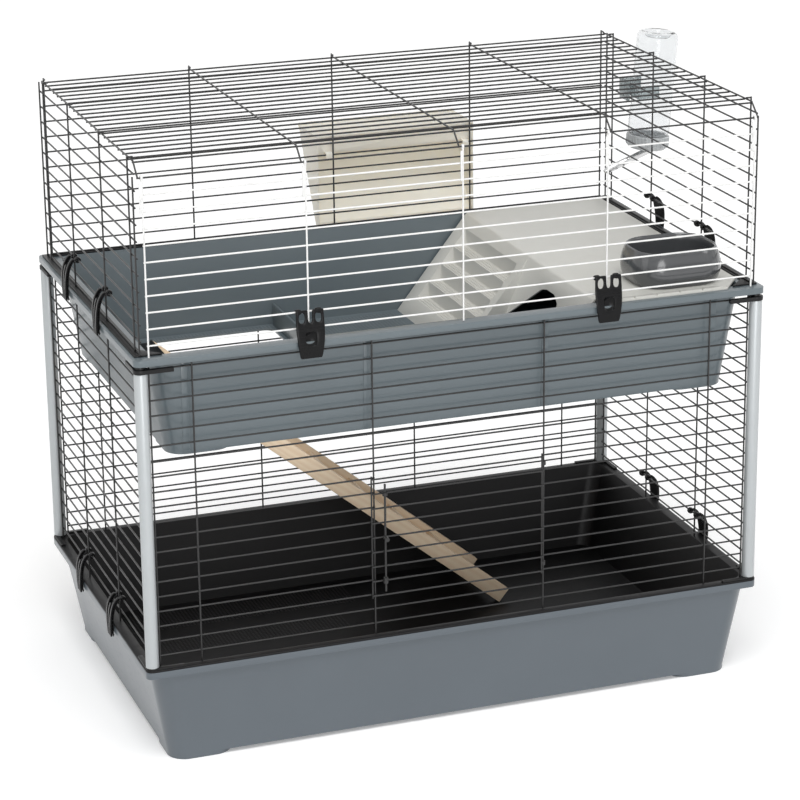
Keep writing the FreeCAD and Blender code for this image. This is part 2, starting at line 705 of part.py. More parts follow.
# Upper front door, white wire, hung on the roof's lowest wire by five eyes
hinge_z = roof_level - D.bendDrop
door = new_body("upper_door")
door_low = upper_rim - hinge_z
door_x = [D.doorShift, roof_edge / 2 - D.doorShift, D.doorShift - roof_edge / 2,
          roof_edge - D.doorShift, D.doorShift - roof_edge]
door_half = roof_edge - D.doorShift + wire
one = wires(door, "X", [(0, door_low + D.doorFirst)], door_half * 2)
rows = row_of(door, one, "Z_Axis", D.upperPitch * (D.doorWires - 1), D.doorWires)
rows.Refine = False
door_foot = door_low + D.doorClear
wires(door, "Z", [(x, -weld) for x in door_x], -door_foot - eye_out + D.eyeWall / 2, door_foot)
for x in door_x:
    eye = new_sketch(door, "YZ_Plane", x)
    add_circle(eye, 0, 0, eye_out)
    add_circle(eye, 0, 0, eye_bore)
    pad(door, eye, D.eyeWide, both=True).Refine = False
place(door, y=-hinge_y, z=hinge_z)

# Lower front door, on the doorway's right upright
gate = new_body("lower_door")
gate_left = -(D.doorHalf * 2 + D.gateLap)
gate_right = -D.gateSide
gate_bar = -(D.gateStep + weld)
bar_long = gate_right - gate_left + D.wireDia
bar_start = gate_left - wire
sketch = new_sketch(gate, "YZ_Plane", bar_start)
add_circle(sketch, gate_bar, gate_low, wire)
one = pad(gate, sketch, bar_long)
rows = row_of(gate, one, "Z_Axis", gate_high - gate_low, D.gateWires)
rows.Refine = False
gate_tall = gate_high - gate_low + D.gateEnd * 2
gate_foot = gate_low - D.gateEnd
spots = [(gate_left, -D.gateStep), (gate_right, -D.gateStep)]
wires(gate, "Z", spots, gate_tall, gate_foot)
for level in (gate_low + D.lowerPitch / 2, gate_high - D.lowerPitch / 2):
    eye = new_sketch(gate, "XY_Plane", level)
    add_circle(eye, 0, 0, eye_out)
    add_circle(eye, 0, 0, eye_bore)
    pad(gate, eye, D.gateEye, both=True).Refine = False
bolt = D.boltDia / 2
guide_out = bolt + D.eyeGap + D.eyeWall
bolt_x = D.boltSide - D.doorHalf * 2
bolt_y = gate_bar - wire - guide_out + D.weldBite
guide_low = gate_low + D.lowerPitch
guide_high = gate_high - D.lowerPitch
for level in (guide_low, guide_high):
    guide = new_sketch(gate, "XY_Plane", level)
    add_circle(guide, bolt_x, bolt_y, guide_out)
    add_circle(guide, bolt_x, bolt_y, bolt + D.eyeGap)
    pad(gate, guide, D.guideHigh, both=True).Refine = False
place(gate, D.doorHalf, -panel_y, lower_rim)

# Sliding latch of the lower door: a round bar with a knob
latch = new_body("door_latch")
rod = new_sketch(latch, "XY_Plane", guide_low - D.boltTop)
add_circle(rod, 0, 0, bolt)
pad(latch, rod, guide_high - guide_low + D.boltTop * 2)
collar = new_sketch(latch, "XY_Plane", guide_low + D.guideHigh / 2 + D.collarGap)
add_circle(collar, 0, 0, guide_out - D.eyeGap)
pad(latch, collar, D.boltDia)
knob = new_sketch(latch, "XZ_Plane")
add_circle(knob, 0, (guide_low + guide_high) / 2, D.boltDia)
pad(latch, knob, D.boltKnob)
place(latch, D.doorHalf + bolt_x, -panel_y + bolt_y, lower_rim)


def clip(name, spot, axis, degrees, rim_out, rim_low, width, step, tail):
    """A snap clip: two round prongs on a wire and a plate that reaches under the rim."""
    body = new_body(name)
    start = step / 2
    eye = new_sketch(body, "XZ_Plane", -start - D.prongWidth / 2)
    add_circle(eye, 0, 0, D.prongOut)
    add_circle(eye, 0, 0, eye_bore)
    ring = pad(body, eye, D.prongWidth)
    row_of(body, ring, "Y_Axis", step, 2).Reversed = True
    near = rim_out + D.clipGap
    far = near + D.clipBulge
    top = -(D.prongOut + D.clipSheet / 4)
    neck_low = top - D.clipSheet
    neck = new_sketch(body, "XZ_Plane", -start - D.prongWidth / 2)
    add_chain(neck, (
        (eye_bore + D.eyeGap, -eye_bore), (D.prongOut, 0), (D.prongOut + D.clipSheet, top),
        (D.prongOut + D.clipSheet, neck_low), (D.prongOut, neck_low)))
    arm = pad(body, neck, D.prongWidth)
    row_of(body, arm, "Y_Axis", step, 2).Reversed = True
    lip_high = -(rim_low + D.clipDrop)
    lip_low = lip_high - D.clipSheet
    plate = new_sketch(body, "XZ_Plane")
    add_chain(plate, (
        (D.prongOut, top), (D.prongOut + D.clipSheet, top), (far, lip_high * 0.4),
        (far, lip_high * 0.7), (near + D.clipSheet, lip_low - tail), (near, lip_low - tail),
        (near, lip_low), (rim_out - D.clipLip, lip_low), (rim_out - D.clipLip, lip_high),
        (near, lip_high), (near, lip_high * 0.35), (D.prongOut, neck_low)))
    pad(body, plate, width, both=True)
    place(body, *spot, axis, degrees)


# Side clips on a wire of the side panels, one pair on each side of each rim
side_wire = panel_x - weld
side_out = half_length - side_wire
lower_grip = D.lowerFirst + D.lowerPitch
upper_grip = D.upperFirst + D.upperPitch
for side, sign, degrees in (("left", -1, 180), ("right", 1, 0)):
    for storey, rim, grip, lip in (
            ("lower", lower_rim, lower_grip, D.traySheet + D.lowerLip),
            ("upper", upper_rim, upper_grip, D.upperLip)):
        for spot, y in (("front", -D.sideUpright), ("back", D.sideUpright)):
            clip("clip_%s_%s_%s" % (storey, side, spot), (side_wire * sign, y, rim + grip), (0, 0, 1),
                 degrees, side_out, grip + lip, D.clipWidth, D.prongStep, D.clipTail)

# Front latches on the upper door's second wire
front_grip = D.doorFirst + D.upperPitch
for side, x in (("left", D.doorShift - roof_edge / 2), ("right", roof_edge / 2 - D.doorShift)):
    clip("front_latch_" + side, (x, -hinge_y, upper_rim + front_grip), (0, 0, -1), 90, D.hingeInset,
         front_grip + D.upperLip, D.latchWidth, D.latchStep, D.latchTail)

# Shelter: platform on the rim, stepped ramp and an arched front wall
shelter = new_body("shelter")
top_z = upper_rim + D.sheet - upper_floor
under_z = top_z - D.sheet
strip = D.sheet * 12


def slope(foot, start, length, flip):
    """A sloping wall with the start of the platform, along Y."""
    thick = D.sheet * 1.4
    sketch = new_sketch(shelter, "XZ_Plane", start)
    add_chain(sketch, (
        (D.shelterLeft + strip, top_z), (D.shelterLeft, top_z), (foot, 0), (foot + thick, 0),
        (D.shelterLeft + thick / 2, under_z), (D.shelterLeft + strip, under_z)))
    pad(shelter, sketch, length, flip=flip)


wall_front = D.upperFloorDepth / 2 - D.tubWall * 2
slope(D.rampFoot, D.rampFront, D.rampFront + D.rampBack, True)
slope(D.wallFoot, D.rampFront, wall_front - D.rampFront, False)
web = new_sketch(shelter, "XZ_Plane", D.rampFront)
add_chain(web, ((D.rampFoot, 0), (D.wallFoot + D.sheet, 0), (D.shelterLeft + D.sheet, top_z),
                (D.shelterLeft, top_z)))
pad(shelter, web, D.sheet)
deck = new_sketch(shelter, "XY_Plane", under_z)
add_chain(deck, (
    (D.shelterLeft + D.sheet, -D.shelterFront),
    (D.shelterRight - D.shelterCut * 0.8, -D.shelterFront),
    (D.shelterRight, D.shelterCut - D.shelterFront), (D.shelterRight, D.shelterBack),
    (D.shelterLeft + D.sheet, D.shelterBack)))
pad(shelter, deck, D.sheet)
lean = (D.shelterLeft - D.rampFoot) / top_z
tread = lean * D.stepRise
nose_x = D.rampFoot + lean * D.stepLow
step_front = D.rampBack - D.stepEdge - D.stepWidth
steps = int(D.stepCount.value)
inside = [(nose_x, D.stepLow - D.sheet)]
outside = [(nose_x - D.sheet, D.stepLow)]
for k in range(steps):
    level = D.stepLow + D.stepRise * k
    inside += [(nose_x + tread * (k + 1) + D.sheet, level - D.sheet)]
    outside += [(nose_x + tread * (k + 1), level), (nose_x + tread * (k + 1), level + D.stepRise)]
    if k < steps - 1:
        inside += [(nose_x + tread * (k + 1) + D.sheet, level + D.stepRise - D.sheet)]
head = D.stepLow + D.stepRise * steps
inside += [(nose_x + tread * steps + D.sheet, head), (nose_x + tread * steps + D.sheet / 2, head)]
outside += [(nose_x + tread * steps - D.sheet, head)]
stairs = new_sketch(shelter, "XZ_Plane", D.sheet - step_front)
add_chain(stairs, inside)
pad(shelter, stairs, D.stepWidth + D.sheet * 2, flip=True)
recess = new_sketch(shelter, "XZ_Plane", -step_front)
add_chain(recess, outside)
pocket(shelter, recess, D.stepWidth)
arch = new_sketch(shelter, "YZ_Plane", D.wallFoot - D.sheet)
third = D.archRound * 0.3
add_chain(arch, (
    (-D.archFront, -D.sheet), (-D.archFront, D.archTop - D.archRound),
    (third - D.archFront, D.archTop - third), (D.archRound - D.archFront, D.archTop),
    (-D.archFront + D.archRound * 2, D.archTop),
    (-D.archFront + D.archRound * 2 + third * 2, D.archTop - third / 2),
    (-D.archBack, D.archTop - D.archSlope), (-D.archBack, -D.sheet)))
pocket(shelter, arch, D.shelterLeft - D.wallFoot, flip=True)
place(shelter, z=upper_floor)

# Food bowl on the platform
bowl = new_body("bowl")
base = new_sketch(bowl, "XY_Plane")
base_length = D.bowlLength - D.bowlTuck
base_depth = D.bowlDepth - D.bowlTuck
add_round_box(base, 0, 0, base_length, base_depth, D.bowlRadius - D.bowlTuck / 6)
belly = new_sketch(bowl, "XY_Plane", D.bowlBelly)
add_round_box(belly, 0, 0, D.bowlLength, D.bowlDepth, D.bowlRadius)
loft(bowl, "AdditiveLoft", base, belly)
belly = new_sketch(bowl, "XY_Plane", D.bowlBelly)
add_round_box(belly, 0, 0, D.bowlLength, D.bowlDepth, D.bowlRadius)
brim = new_sketch(bowl, "XY_Plane", D.bowlHeight)
brim_length = D.bowlLength - D.bowlDraw
brim_depth = D.bowlDepth - D.bowlDraw
brim_radius = D.bowlRadius - D.bowlDraw / 6
add_round_box(brim, 0, 0, brim_length, brim_depth, brim_radius)
loft(bowl, "AdditiveLoft", belly, brim)
pit = new_sketch(bowl, "XY_Plane", D.bowlFloor)
inner = D.bowlWall * 2
add_round_box(pit, 0, 0, brim_length - inner * 2, brim_depth - inner * 2, brim_radius - inner)
mouth = new_sketch(bowl, "XY_Plane", D.bowlHeight)
add_round_box(mouth, 0, 0, brim_length - inner, brim_depth - inner, brim_radius - D.bowlWall)
loft(bowl, "SubtractiveLoft", pit, mouth)
place(bowl, D.bowlX, -D.bowlY, upper_rim + D.sheet)

# Hay rack behind the back panel: an open wedge on the rim, hooked on a wire
rack = new_body("hay_rack")
rack_y = panel_y + wire + D.rackGap
bin_half = D.rackLength / 2
lean = sin_of(D.rackLean) / cos_of(D.rackLean)
skin = D.rackWall / cos_of(D.rackLean)
collar_low = D.rackHeight - D.rackCollar
rack_foot = D.rackDepth - collar_low * lean
outline = new_sketch(rack, "YZ_Plane")
add_chain(outline, (
    (0, 0), (rack_foot, 0), (D.rackDepth, collar_low), (D.rackDepth, D.rackHeight), (0, D.rackHeight)))
pad(rack, outline, D.rackLength, both=True)
hollow = new_sketch(rack, "YZ_Plane", bin_half - D.rackWall)
inner_back = D.rackDepth - D.rackWall
add_chain(hollow, (
    (-D.rackWall, D.rackWall), (rack_foot + D.rackWall * lean - skin, D.rackWall),
    (inner_back, collar_low + (skin - D.rackWall) / lean), (inner_back, D.rackHeight),
    (-D.rackWall, D.rackHeight)))
pocket(rack, hollow, D.rackLength - D.rackWall * 2)
pin_y = D.rackDepth + D.lidKnuckle / 2 + D.lidGap
pin_z = D.rackHeight + D.lidGap + D.lidSheet / 2
knuckle_out = D.lidKnuckle / 2
for left in (-bin_half, bin_half - D.lidEar):
    ear = new_sketch(rack, "YZ_Plane", left)
    add_circle(ear, pin_y, pin_z, knuckle_out)
    pad(rack, ear, D.lidEar)
    neck = new_sketch(rack, "YZ_Plane", left)
    neck_low = pin_z - D.lidKnuckle * 1.5
    add_chain(neck, (
        (D.rackDepth - D.rackWall, neck_low), (D.rackDepth, neck_low), (pin_y + knuckle_out, pin_z),
        (pin_y, pin_z), (D.rackDepth, D.rackHeight - knuckle_out),
        (D.rackDepth - D.rackWall, D.rackHeight - knuckle_out)))
    pad(rack, neck, D.lidEar)
pin = new_sketch(rack, "YZ_Plane")
add_circle(pin, pin_y, pin_z, D.lidPin / 2)
pad(rack, pin, D.rackLength, both=True)
wire_z = D.upperFirst + D.upperPitch * D.hookWire + wire + D.hookGap
wire_y = D.rackGap + wire + weld
hook_in = -(wire_y + wire + D.hookGap)
hook_low = wire_z - D.wireDia * 3
band = new_sketch(rack, "XY_Plane", wire_z)
add_box(band, -bin_half, 0, bin_half, D.rackWall)
pad(rack, band, D.rackHeight - wire_z)
for left in (D.rackHookIn - bin_half, bin_half - D.rackHookIn - D.rackHook):
    hook = new_sketch(rack, "YZ_Plane", left)
    add_chain(hook, (
        (0, wire_z), (0, wire_z + D.rackWall), (hook_in - D.rackWall, wire_z + D.rackWall),
        (hook_in - D.rackWall, hook_low), (hook_in, hook_low), (hook_in, wire_z)))
    pad(rack, hook, D.rackHook)
place(rack, D.rackX, rack_y, upper_rim)

# Lid of the hay rack, on the rack's pin
lid = new_body("rack_lid")
leaf = new_sketch(lid, "XY_Plane", -D.lidSheet / 2)
leaf_back = -(D.lidKnuckle / 2 + D.lidGap)
knuckle_half = bin_half - D.lidEar - D.lidGap * 4
add_chain(leaf, (
    (-bin_half, -pin_y), (bin_half, -pin_y), (bin_half, leaf_back), (knuckle_half, leaf_back),
    (knuckle_half, -D.lidPin / 2 - D.lidGap), (-knuckle_half, -D.lidPin / 2 - D.lidGap),
    (-knuckle_half, leaf_back), (-bin_half, leaf_back)))
pad(lid, leaf, D.lidSheet)
knuckle = new_sketch(lid, "YZ_Plane")
add_circle(knuckle, 0, 0, D.lidKnuckle / 2)
add_circle(knuckle, 0, 0, D.lidPin / 2 + D.eyeGap)
pad(lid, knuckle, knuckle_half * 2, both=True)
place(lid, D.rackX, rack_y + pin_y, upper_rim + pin_z)

# Water bottle outside the right panel, upside down on its cap
cap_out = D.bottleDia / 2 + D.capRim
bottle_x = side_wire + wire + D.bottleGap + cap_out
spout_z = upper_rim + D.upperFirst + D.upperPitch * D.spoutWire
spout_start = spout_z + (bottle_x - side_wire) * sin_of(D.spoutFall) / cos_of(D.spoutFall)
cap_z = spout_start + D.spoutDia / 2

cap = new_body("bottle_cap")
side = new_sketch(cap, "XZ_Plane")
neck_out = D.bottleDia / 2 - D.capTall / 4
cap_in = neck_out + D.holderGap / 2
add_chain(side, (
    (0, 0), (cap_out * 0.8, 0), (cap_out, D.capTall * 0.3), (cap_out, D.capTall),
    (cap_in, D.capTall), (cap_in, D.capTall * 0.4), (0, D.capTall * 0.4)))
spin(cap, side)
place(cap, bottle_x, D.bottleY, cap_z, (0, 1, 0), D.bottleTilt)

bottle = new_body("bottle")
side = new_sketch(bottle, "XZ_Plane")
body_out = D.bottleDia / 2
neck_foot = D.capTall * 0.4 + D.holderGap / 2
body_foot = D.capTall + D.holderGap / 2
tall = body_foot + D.bottleTall
thin = D.bottleWall
round_off = D.bottleDia / 8
add_chain(side, (
    (neck_out, neck_foot), (neck_out, body_foot), (body_out, body_foot), (body_out, tall - round_off),
    (body_out - round_off * 0.3, tall - round_off * 0.3), (body_out - round_off, tall), (0, tall),
    (0, tall - thin), (body_out - round_off, tall - thin),
    (body_out - round_off * 0.3 - thin, tall - round_off * 0.3 - thin),
    (body_out - thin, tall - round_off), (body_out - thin, body_foot + thin),
    (neck_out - thin, body_foot + thin), (neck_out - thin, neck_foot)))
spin(bottle, side)
place(bottle, bottle_x, D.bottleY, cap_z, (0, 1, 0), D.bottleTilt)

# Spout: a stem under the cap and a tube that slopes into the cage
spout = new_body("spout")
stem = new_sketch(spout, "XY_Plane")
add_circle(stem, 0, 0, D.spoutDia / 2)
pad(spout, stem, D.spoutDia * 0.8, flip=True)
for radius, length in ((D.spoutDia / 2, D.spoutLong), (D.spoutBore / 2, D.spoutLong + D.spoutBall)):
    tube = new_sketch(spout, "XY_Plane")
    turn_by(tube, "AttachmentOffset", (0, -1, 0), D.spoutFall + D.bottleTilt + 90)
    bind(tube, "AttachmentOffset.Base.z", -D.spoutDia / 2)
    add_circle(tube, 0, 0, radius)
    pad(spout, tube, length)
place(spout, bottle_x, D.bottleY, cap_z, (0, 1, 0), D.bottleTilt)

# Bottle holder clamped on the right panel's wires
holder = new_body("bottle_holder")
plate_near = wire + D.holderGap / 2
plate_far = plate_near + D.holderSheet
arm_in = D.bottleDia / 2 + D.holderGap
arm_out = arm_in + D.holderSheet
half_tall = D.holderTall / 2
plan = new_sketch(holder, "XY_Plane", -half_tall)
add_chain(plan, (
    (plate_near, -arm_out), (D.holderReach, -arm_out), (D.holderReach, -arm_in), (plate_far, -arm_in),
    (plate_far, arm_in), (D.holderReach, arm_in), (D.holderReach, arm_out), (plate_near, arm_out)))
pad(holder, plan, D.holderTall)
inner_far = -(weld + wire + D.holderGap)
link = new_sketch(holder, "XY_Plane")
add_box(link, inner_far, -D.linkTall / 2, plate_far, D.linkTall / 2)
pad(holder, link, D.linkTall, both=True)
clamp = new_sketch(holder, "XY_Plane")
add_box(clamp, inner_far - D.holderSheet, -arm_in / 2, inner_far, arm_in / 2)
pad(holder, clamp, D.upperPitch * 1.4, both=True)
holder_z = upper_rim + D.upperFirst + D.upperPitch * D.holderWire
place(holder, panel_x, D.bottleY, holder_z)

# Ladder from the hatch down to the tray
slope_cos = cos_of(D.ladderSlope)
slope_sin = sin_of(D.ladderSlope)
ladder_x = D.ladderFoot - D.ladderLong * slope_cos
ladder_z = tray_floor + D.ladderLong * slope_sin


def plank(name, x, y, z, length, width, height):
    """A straight board of the ladder, laid along its slope."""
    body = new_body(name)
    outline = new_sketch(body, "XY_Plane", z)
    add_box(outline, x, y, x + length, y + width)
    pad(body, outline, height)
    place(body, ladder_x, D.ladderFront, ladder_z, (0, 1, 0), D.ladderSlope)


between = D.ladderWide - D.railThick * 2
plank("ladder_rail_front", as_size(0), as_size(0), as_size(0), D.ladderLong, D.railThick, D.railTall)
plank("ladder_rail_back", as_size(0), D.ladderWide - D.railThick, as_size(0), D.ladderLong,
      D.railThick, D.railTall)
foot_room = D.railTall * slope_sin / slope_cos
plank("ladder_board", as_size(0), D.railThick, D.boardLow, D.ladderLong - foot_room, between, D.boardThick)
cleat_room = D.ladderLong - foot_room - D.cleatFirst - D.cleatLong
for k in range(int(cleat_room.value // D.cleatPitch.value) + 1):
    plank("ladder_cleat_%d" % (k + 1), D.cleatFirst + D.cleatPitch * k, D.railThick,
          D.boardLow + D.boardThick, D.cleatLong, between, D.cleatTall)

# Hook plate that carries the ladder on the edge of the hatch
hook = new_body("ladder_hook")
profile = new_sketch(hook, "XZ_Plane")
seat = D.hookSeat
outer = seat + D.hookSheet
floor_z = upper_floor - ladder_z
plate_z = floor_z + D.hookSheet
tan_top = slope_sin / slope_cos
low_x = outer * -slope_cos
low_z = outer * slope_sin
add_chain(profile, (
    (seat * -slope_cos, seat * slope_sin),
    (D.railTall * slope_sin - seat * slope_cos, D.railTall * slope_cos + seat * slope_sin),
    (D.railTall * slope_sin - outer * slope_cos, D.railTall * slope_cos + outer * slope_sin),
    (low_x + (plate_z - low_z) * tan_top, plate_z),
    (-D.hatchLeft - D.hookPlate - ladder_x, plate_z), (-D.hatchLeft - D.hookPlate - ladder_x, floor_z),
    (low_x + (floor_z - low_z) * tan_top, floor_z), (low_x, low_z)))
pad(hook, profile, D.ladderWide, flip=True)
place(hook, ladder_x, D.ladderFront, ladder_z)

# Check every object, then write each piece
doc.recompute()
faults = [o.Name for o in doc.Objects if "Invalid" in o.State or "Error" in o.State]
for thing in parts:
    shape = thing.Shape
    if shape.isNull() or not shape.isValid() or len(shape.Solids) != 1:
        faults.append("%s has %d solids" % (thing.Label, len(shape.Solids)))
if faults:
    raise RuntimeError("; ".join(faults))
os.makedirs("parts", exist_ok=True)
for thing in parts:
    thing.Shape.exportStep("parts/%s.step" % thing.Label)
print("%d pieces written" % len(parts))
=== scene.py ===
import json
import math

import bmesh
import bpy
from mathutils import Matrix, Quaternion, Vector


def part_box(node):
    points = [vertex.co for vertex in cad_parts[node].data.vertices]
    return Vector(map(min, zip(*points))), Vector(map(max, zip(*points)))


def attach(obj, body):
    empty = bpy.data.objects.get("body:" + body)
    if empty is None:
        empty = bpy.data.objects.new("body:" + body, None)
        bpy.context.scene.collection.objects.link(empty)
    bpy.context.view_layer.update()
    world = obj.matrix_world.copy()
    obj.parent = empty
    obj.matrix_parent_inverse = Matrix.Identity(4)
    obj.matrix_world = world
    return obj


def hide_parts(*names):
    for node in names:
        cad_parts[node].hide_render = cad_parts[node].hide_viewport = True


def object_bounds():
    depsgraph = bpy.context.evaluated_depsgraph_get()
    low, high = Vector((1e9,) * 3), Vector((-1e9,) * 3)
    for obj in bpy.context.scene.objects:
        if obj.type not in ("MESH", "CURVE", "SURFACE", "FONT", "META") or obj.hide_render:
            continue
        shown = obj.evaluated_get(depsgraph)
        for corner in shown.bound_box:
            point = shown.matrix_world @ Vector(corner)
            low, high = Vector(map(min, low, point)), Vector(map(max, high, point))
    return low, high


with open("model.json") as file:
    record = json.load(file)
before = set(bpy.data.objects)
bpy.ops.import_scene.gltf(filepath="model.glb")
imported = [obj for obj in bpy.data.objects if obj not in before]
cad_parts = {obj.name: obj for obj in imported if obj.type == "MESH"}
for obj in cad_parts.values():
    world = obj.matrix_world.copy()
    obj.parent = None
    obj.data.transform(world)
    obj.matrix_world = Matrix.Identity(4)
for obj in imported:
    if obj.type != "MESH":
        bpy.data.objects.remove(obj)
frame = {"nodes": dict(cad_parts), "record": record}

bl_info = {
    "name": "Two-storey rabbit cage",
    "version": (1, 0, 0),
    "blender": (4, 5, 0),
    "location": "View3D > Sidebar > Cage",
    "description": "Dresses the CAD frame of a wire and plastic rabbit cage and sets its studio",
    "category": "Object",
}

# Places read from the frame
MM = 0.001
CAD_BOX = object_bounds()
BODY_OF = {n: b for b, ns in frame["record"]["behaviour"]["bodies"].items() for n in ns}
SLOT_OF = {s["node"]: s["material_slot"] for s in frame["record"]["subparts"]}
HINGES = {j["child"]: j for j in frame["record"]["behaviour"]["joints"]}
NODES = sorted(frame["nodes"])
HALF_LONG, HALF_DEEP, RIM_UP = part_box("upper_tub")[1]
FLOOR_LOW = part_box("ladder_rail_front")[0].z
FLOOR_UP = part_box("hatch_guard")[0].z

# Slope of the ladder, which its grain follows
SLOPE = math.radians(39.4)

# Bore of an eye that turns on a wire
WIRE_BORE = 1.4 * MM

# Angles over which an edge is rounded: of a CAD mesh, and of an added block
CAD_SHARP, BLOCK_SHARP = 32.0, 40.0

# Grip squares: pitch, depth of their zone, and middle and half size of each pad
GRIP_PITCH, GRIP_ZONE = 5.8 * MM, 4 * MM
UPPER_PADS = ((-0.15, -0.165, 0.26, 0.075), (0.0, 0.09, 0.085, 0.155), (-0.25, 0.239, 0.19, 0.013))
TRAY_PADS = ((-0.20, 0.202, 0.19, 0.037), (-0.20, 0.100, 0.15, 0.025))

# Ribs of the upper tub: places along it, then distances below the rim, half sizes, and the wall behind
RIB_PLACES = (-0.40, -0.135, 0.135, 0.40)
RIB_TOP, RIB_FOOT = 15 * MM, 146 * MM
RIB_HALF, RIB_DEEP = 5 * MM, 0.4 * MM
WALL_FOOT, WALL_LEAN = 261.2 * MM, 4.8 * MM

# Wire ends of the upper door: radius and height in millimetres, then the place beside an upright
TAIL = ((0.0, -22.0), (0.9, -21.6), (1.25, -20.6), (1.25, 20.6), (0.9, 21.6), (0.0, 22.0))
TAIL_ASIDE, TAIL_BELOW = 2.4 * MM, 27 * MM

# Treads of the ramp: first one, step to the next, and the lines on each
TREAD_FIRST, TREAD_STEP = (23.4, 25.5), (21.2, 26.5)
TREAD_LINES, TREAD_WIDE = (0.0, 5.4, 10.8), 2.6
TREAD_ENDS = (13 * MM, 214 * MM)

# Teeth on the front edge of the platform
TEETH, TOOTH_FIRST, TOOTH_STEP, TOOTH_LONG = 5, 0.236, 36 * MM, 34 * MM

# Wall of the bowl from its foot over the lip to its floor: height and distance inside the belly, millimetres
BOWL_RINGS = ((0.0, 8.4), (1.4, 6.6), (6.0, 4.0), (14.0, 1.2), (22.0, 0.2), (31.0, 0.8), (40.0, 2.8),
              (47.5, 5.2), (51.0, 6.6), (52.5, 7.4), (53.0, 8.4), (52.5, 9.4), (49.5, 10.6), (40.0, 11.4),
              (24.0, 12.4), (15.0, 15.0), (10.0, 19.5), (7.6, 26.0), (7.0, 36.0))

# Turned profiles of the bottle, its cap and its spout: radius and height in millimetres
BOTTLE_FOOT = Vector((0.4973, 0.185, 0.7096))
BOTTLE_LEAN, SPOUT_LEAN = math.radians(5.0), math.radians(-110.0)
SPOUT_DROP = Vector((0, 0, -5.5 * MM))
BOTTLE_OUTSIDE = ((24.0, 9.2), (27.2, 9.2), (27.2, 22.2), (31.0, 23.5), (33.0, 27.0), (33.0, 60.0),
                  (32.2, 62.0), (32.2, 66.0), (33.0, 68.0), (33.0, 176.0), (32.2, 181.5), (29.6, 185.8),
                  (25.6, 187.9), (22.4, 188.2), (19.6, 186.4), (17.6, 180.5), (0.0, 179.6))
BOTTLE_INSIDE = ((0.0, 178.0), (17.2, 178.8), (19.4, 180.2), (21.2, 185.0), (24.5, 186.3), (28.2, 184.4),
                 (30.6, 180.6), (31.4, 176.0), (31.4, 68.5), (30.7, 66.4), (30.7, 61.6), (31.4, 59.5),
                 (31.4, 27.4), (29.8, 25.2), (25.6, 23.0), (24.0, 9.2))
CAP = ((0.0, 0.0), (26.0, 0.0), (28.6, 0.8), (33.4, 5.6), (34.3, 7.2), (34.4, 20.6), (33.8, 21.8),
       (28.2, 21.9), (27.7, 21.0), (27.6, 8.9), (0.0, 8.8))
SPOUT = ((0.0, -6.5), (4.2, -6.3), (5.4, -5.0), (5.5, 70.0), (5.1, 72.5), (3.5, 75.4), (3.4, 76.2),
         (2.9, 77.6), (1.6, 78.4), (0.0, 78.5))

# Studio: place, size and power of each lamp, what they aim at, and the camera fitted to the photograph
SUN_PLACE, SUN_POWER, SUN_SPREAD = (-0.5, -1.6, 4.2), 1.80, math.radians(38)
BOXES = (("front_box", (-0.9, -4.6, 1.3), 2.4, 62.0), ("left_box", (-3.2, -0.6, 1.6), 1.6, 6.0),
         ("right_box", (2.8, -2.2, 2.4), 1.2, 12.0))
LAMP_AIM = Vector((0.0, 0.0, 0.45))
WORLD_LIGHT, WORLD_SEEN, FLOOR_GLOW = 0.40, 1.0, 0.22
EYE_PLACE, EYE_LENS, EYE_SENSOR = (-1.3938, -3.9122, 1.8207), 130.24, 36.0
EYE_HEADING, EYE_PITCH, EYE_ROLL = (math.radians(a) for a in (19.72, -18.81, -0.66))


# Sizes and colours that a user would change

def length(name, words, value):
    return bpy.props.FloatProperty(name=name, description=words, default=value, unit="LENGTH", precision=4)


def colour(name, words, value):
    return bpy.props.FloatVectorProperty(name=name, description=words, default=value, subtype="COLOR",
                                         size=3, min=0.0, max=1.0)


class CageSizes(bpy.types.PropertyGroup):
    """Rounding and small forms of the moulded pieces."""
    tub_round: length("Tub edges", "Rounding of the tubs' edges", 1.3 * MM)
    skirt_trim: length("Skirt trim", "How much the upper rim's skirt, clips and latches are drawn in", 5 * MM)
    trim_round: length("Trim edges", "Rounding of caps, feet and frames", 0.7 * MM)
    post_round: length("Post ends", "Rounding of the posts' ends", 0.3 * MM)
    shelter_round: length("Shelter edges", "Rounding of the shelter's edges", 1.4 * MM)
    shelter_bend: length("Shelter bends", "Bends from the shelter's platform to its slopes", 15 * MM)
    shelter_corner: length("Shelter corner", "Rounding of the platform's back corner", 9 * MM)
    riser_round: length("Riser ends", "Cut at the ends of the ramp's risers", 4 * MM)
    wood_round: length("Wood edges", "Rounding of the ladder's planks", 0.9 * MM)
    bowl_corner: length("Bowl corners", "Radius of the bowl's upright corners", 44 * MM)
    rack_round: length("Rack edges", "Rounding of the hay rack", 0.9 * MM)
    rib_wide: length("Clip ribs", "Width of the ribs on the side clips", 6.4 * MM)
    clip_thick: length("Clip thickness", "Thickness of clips and latches", 3.2 * MM)


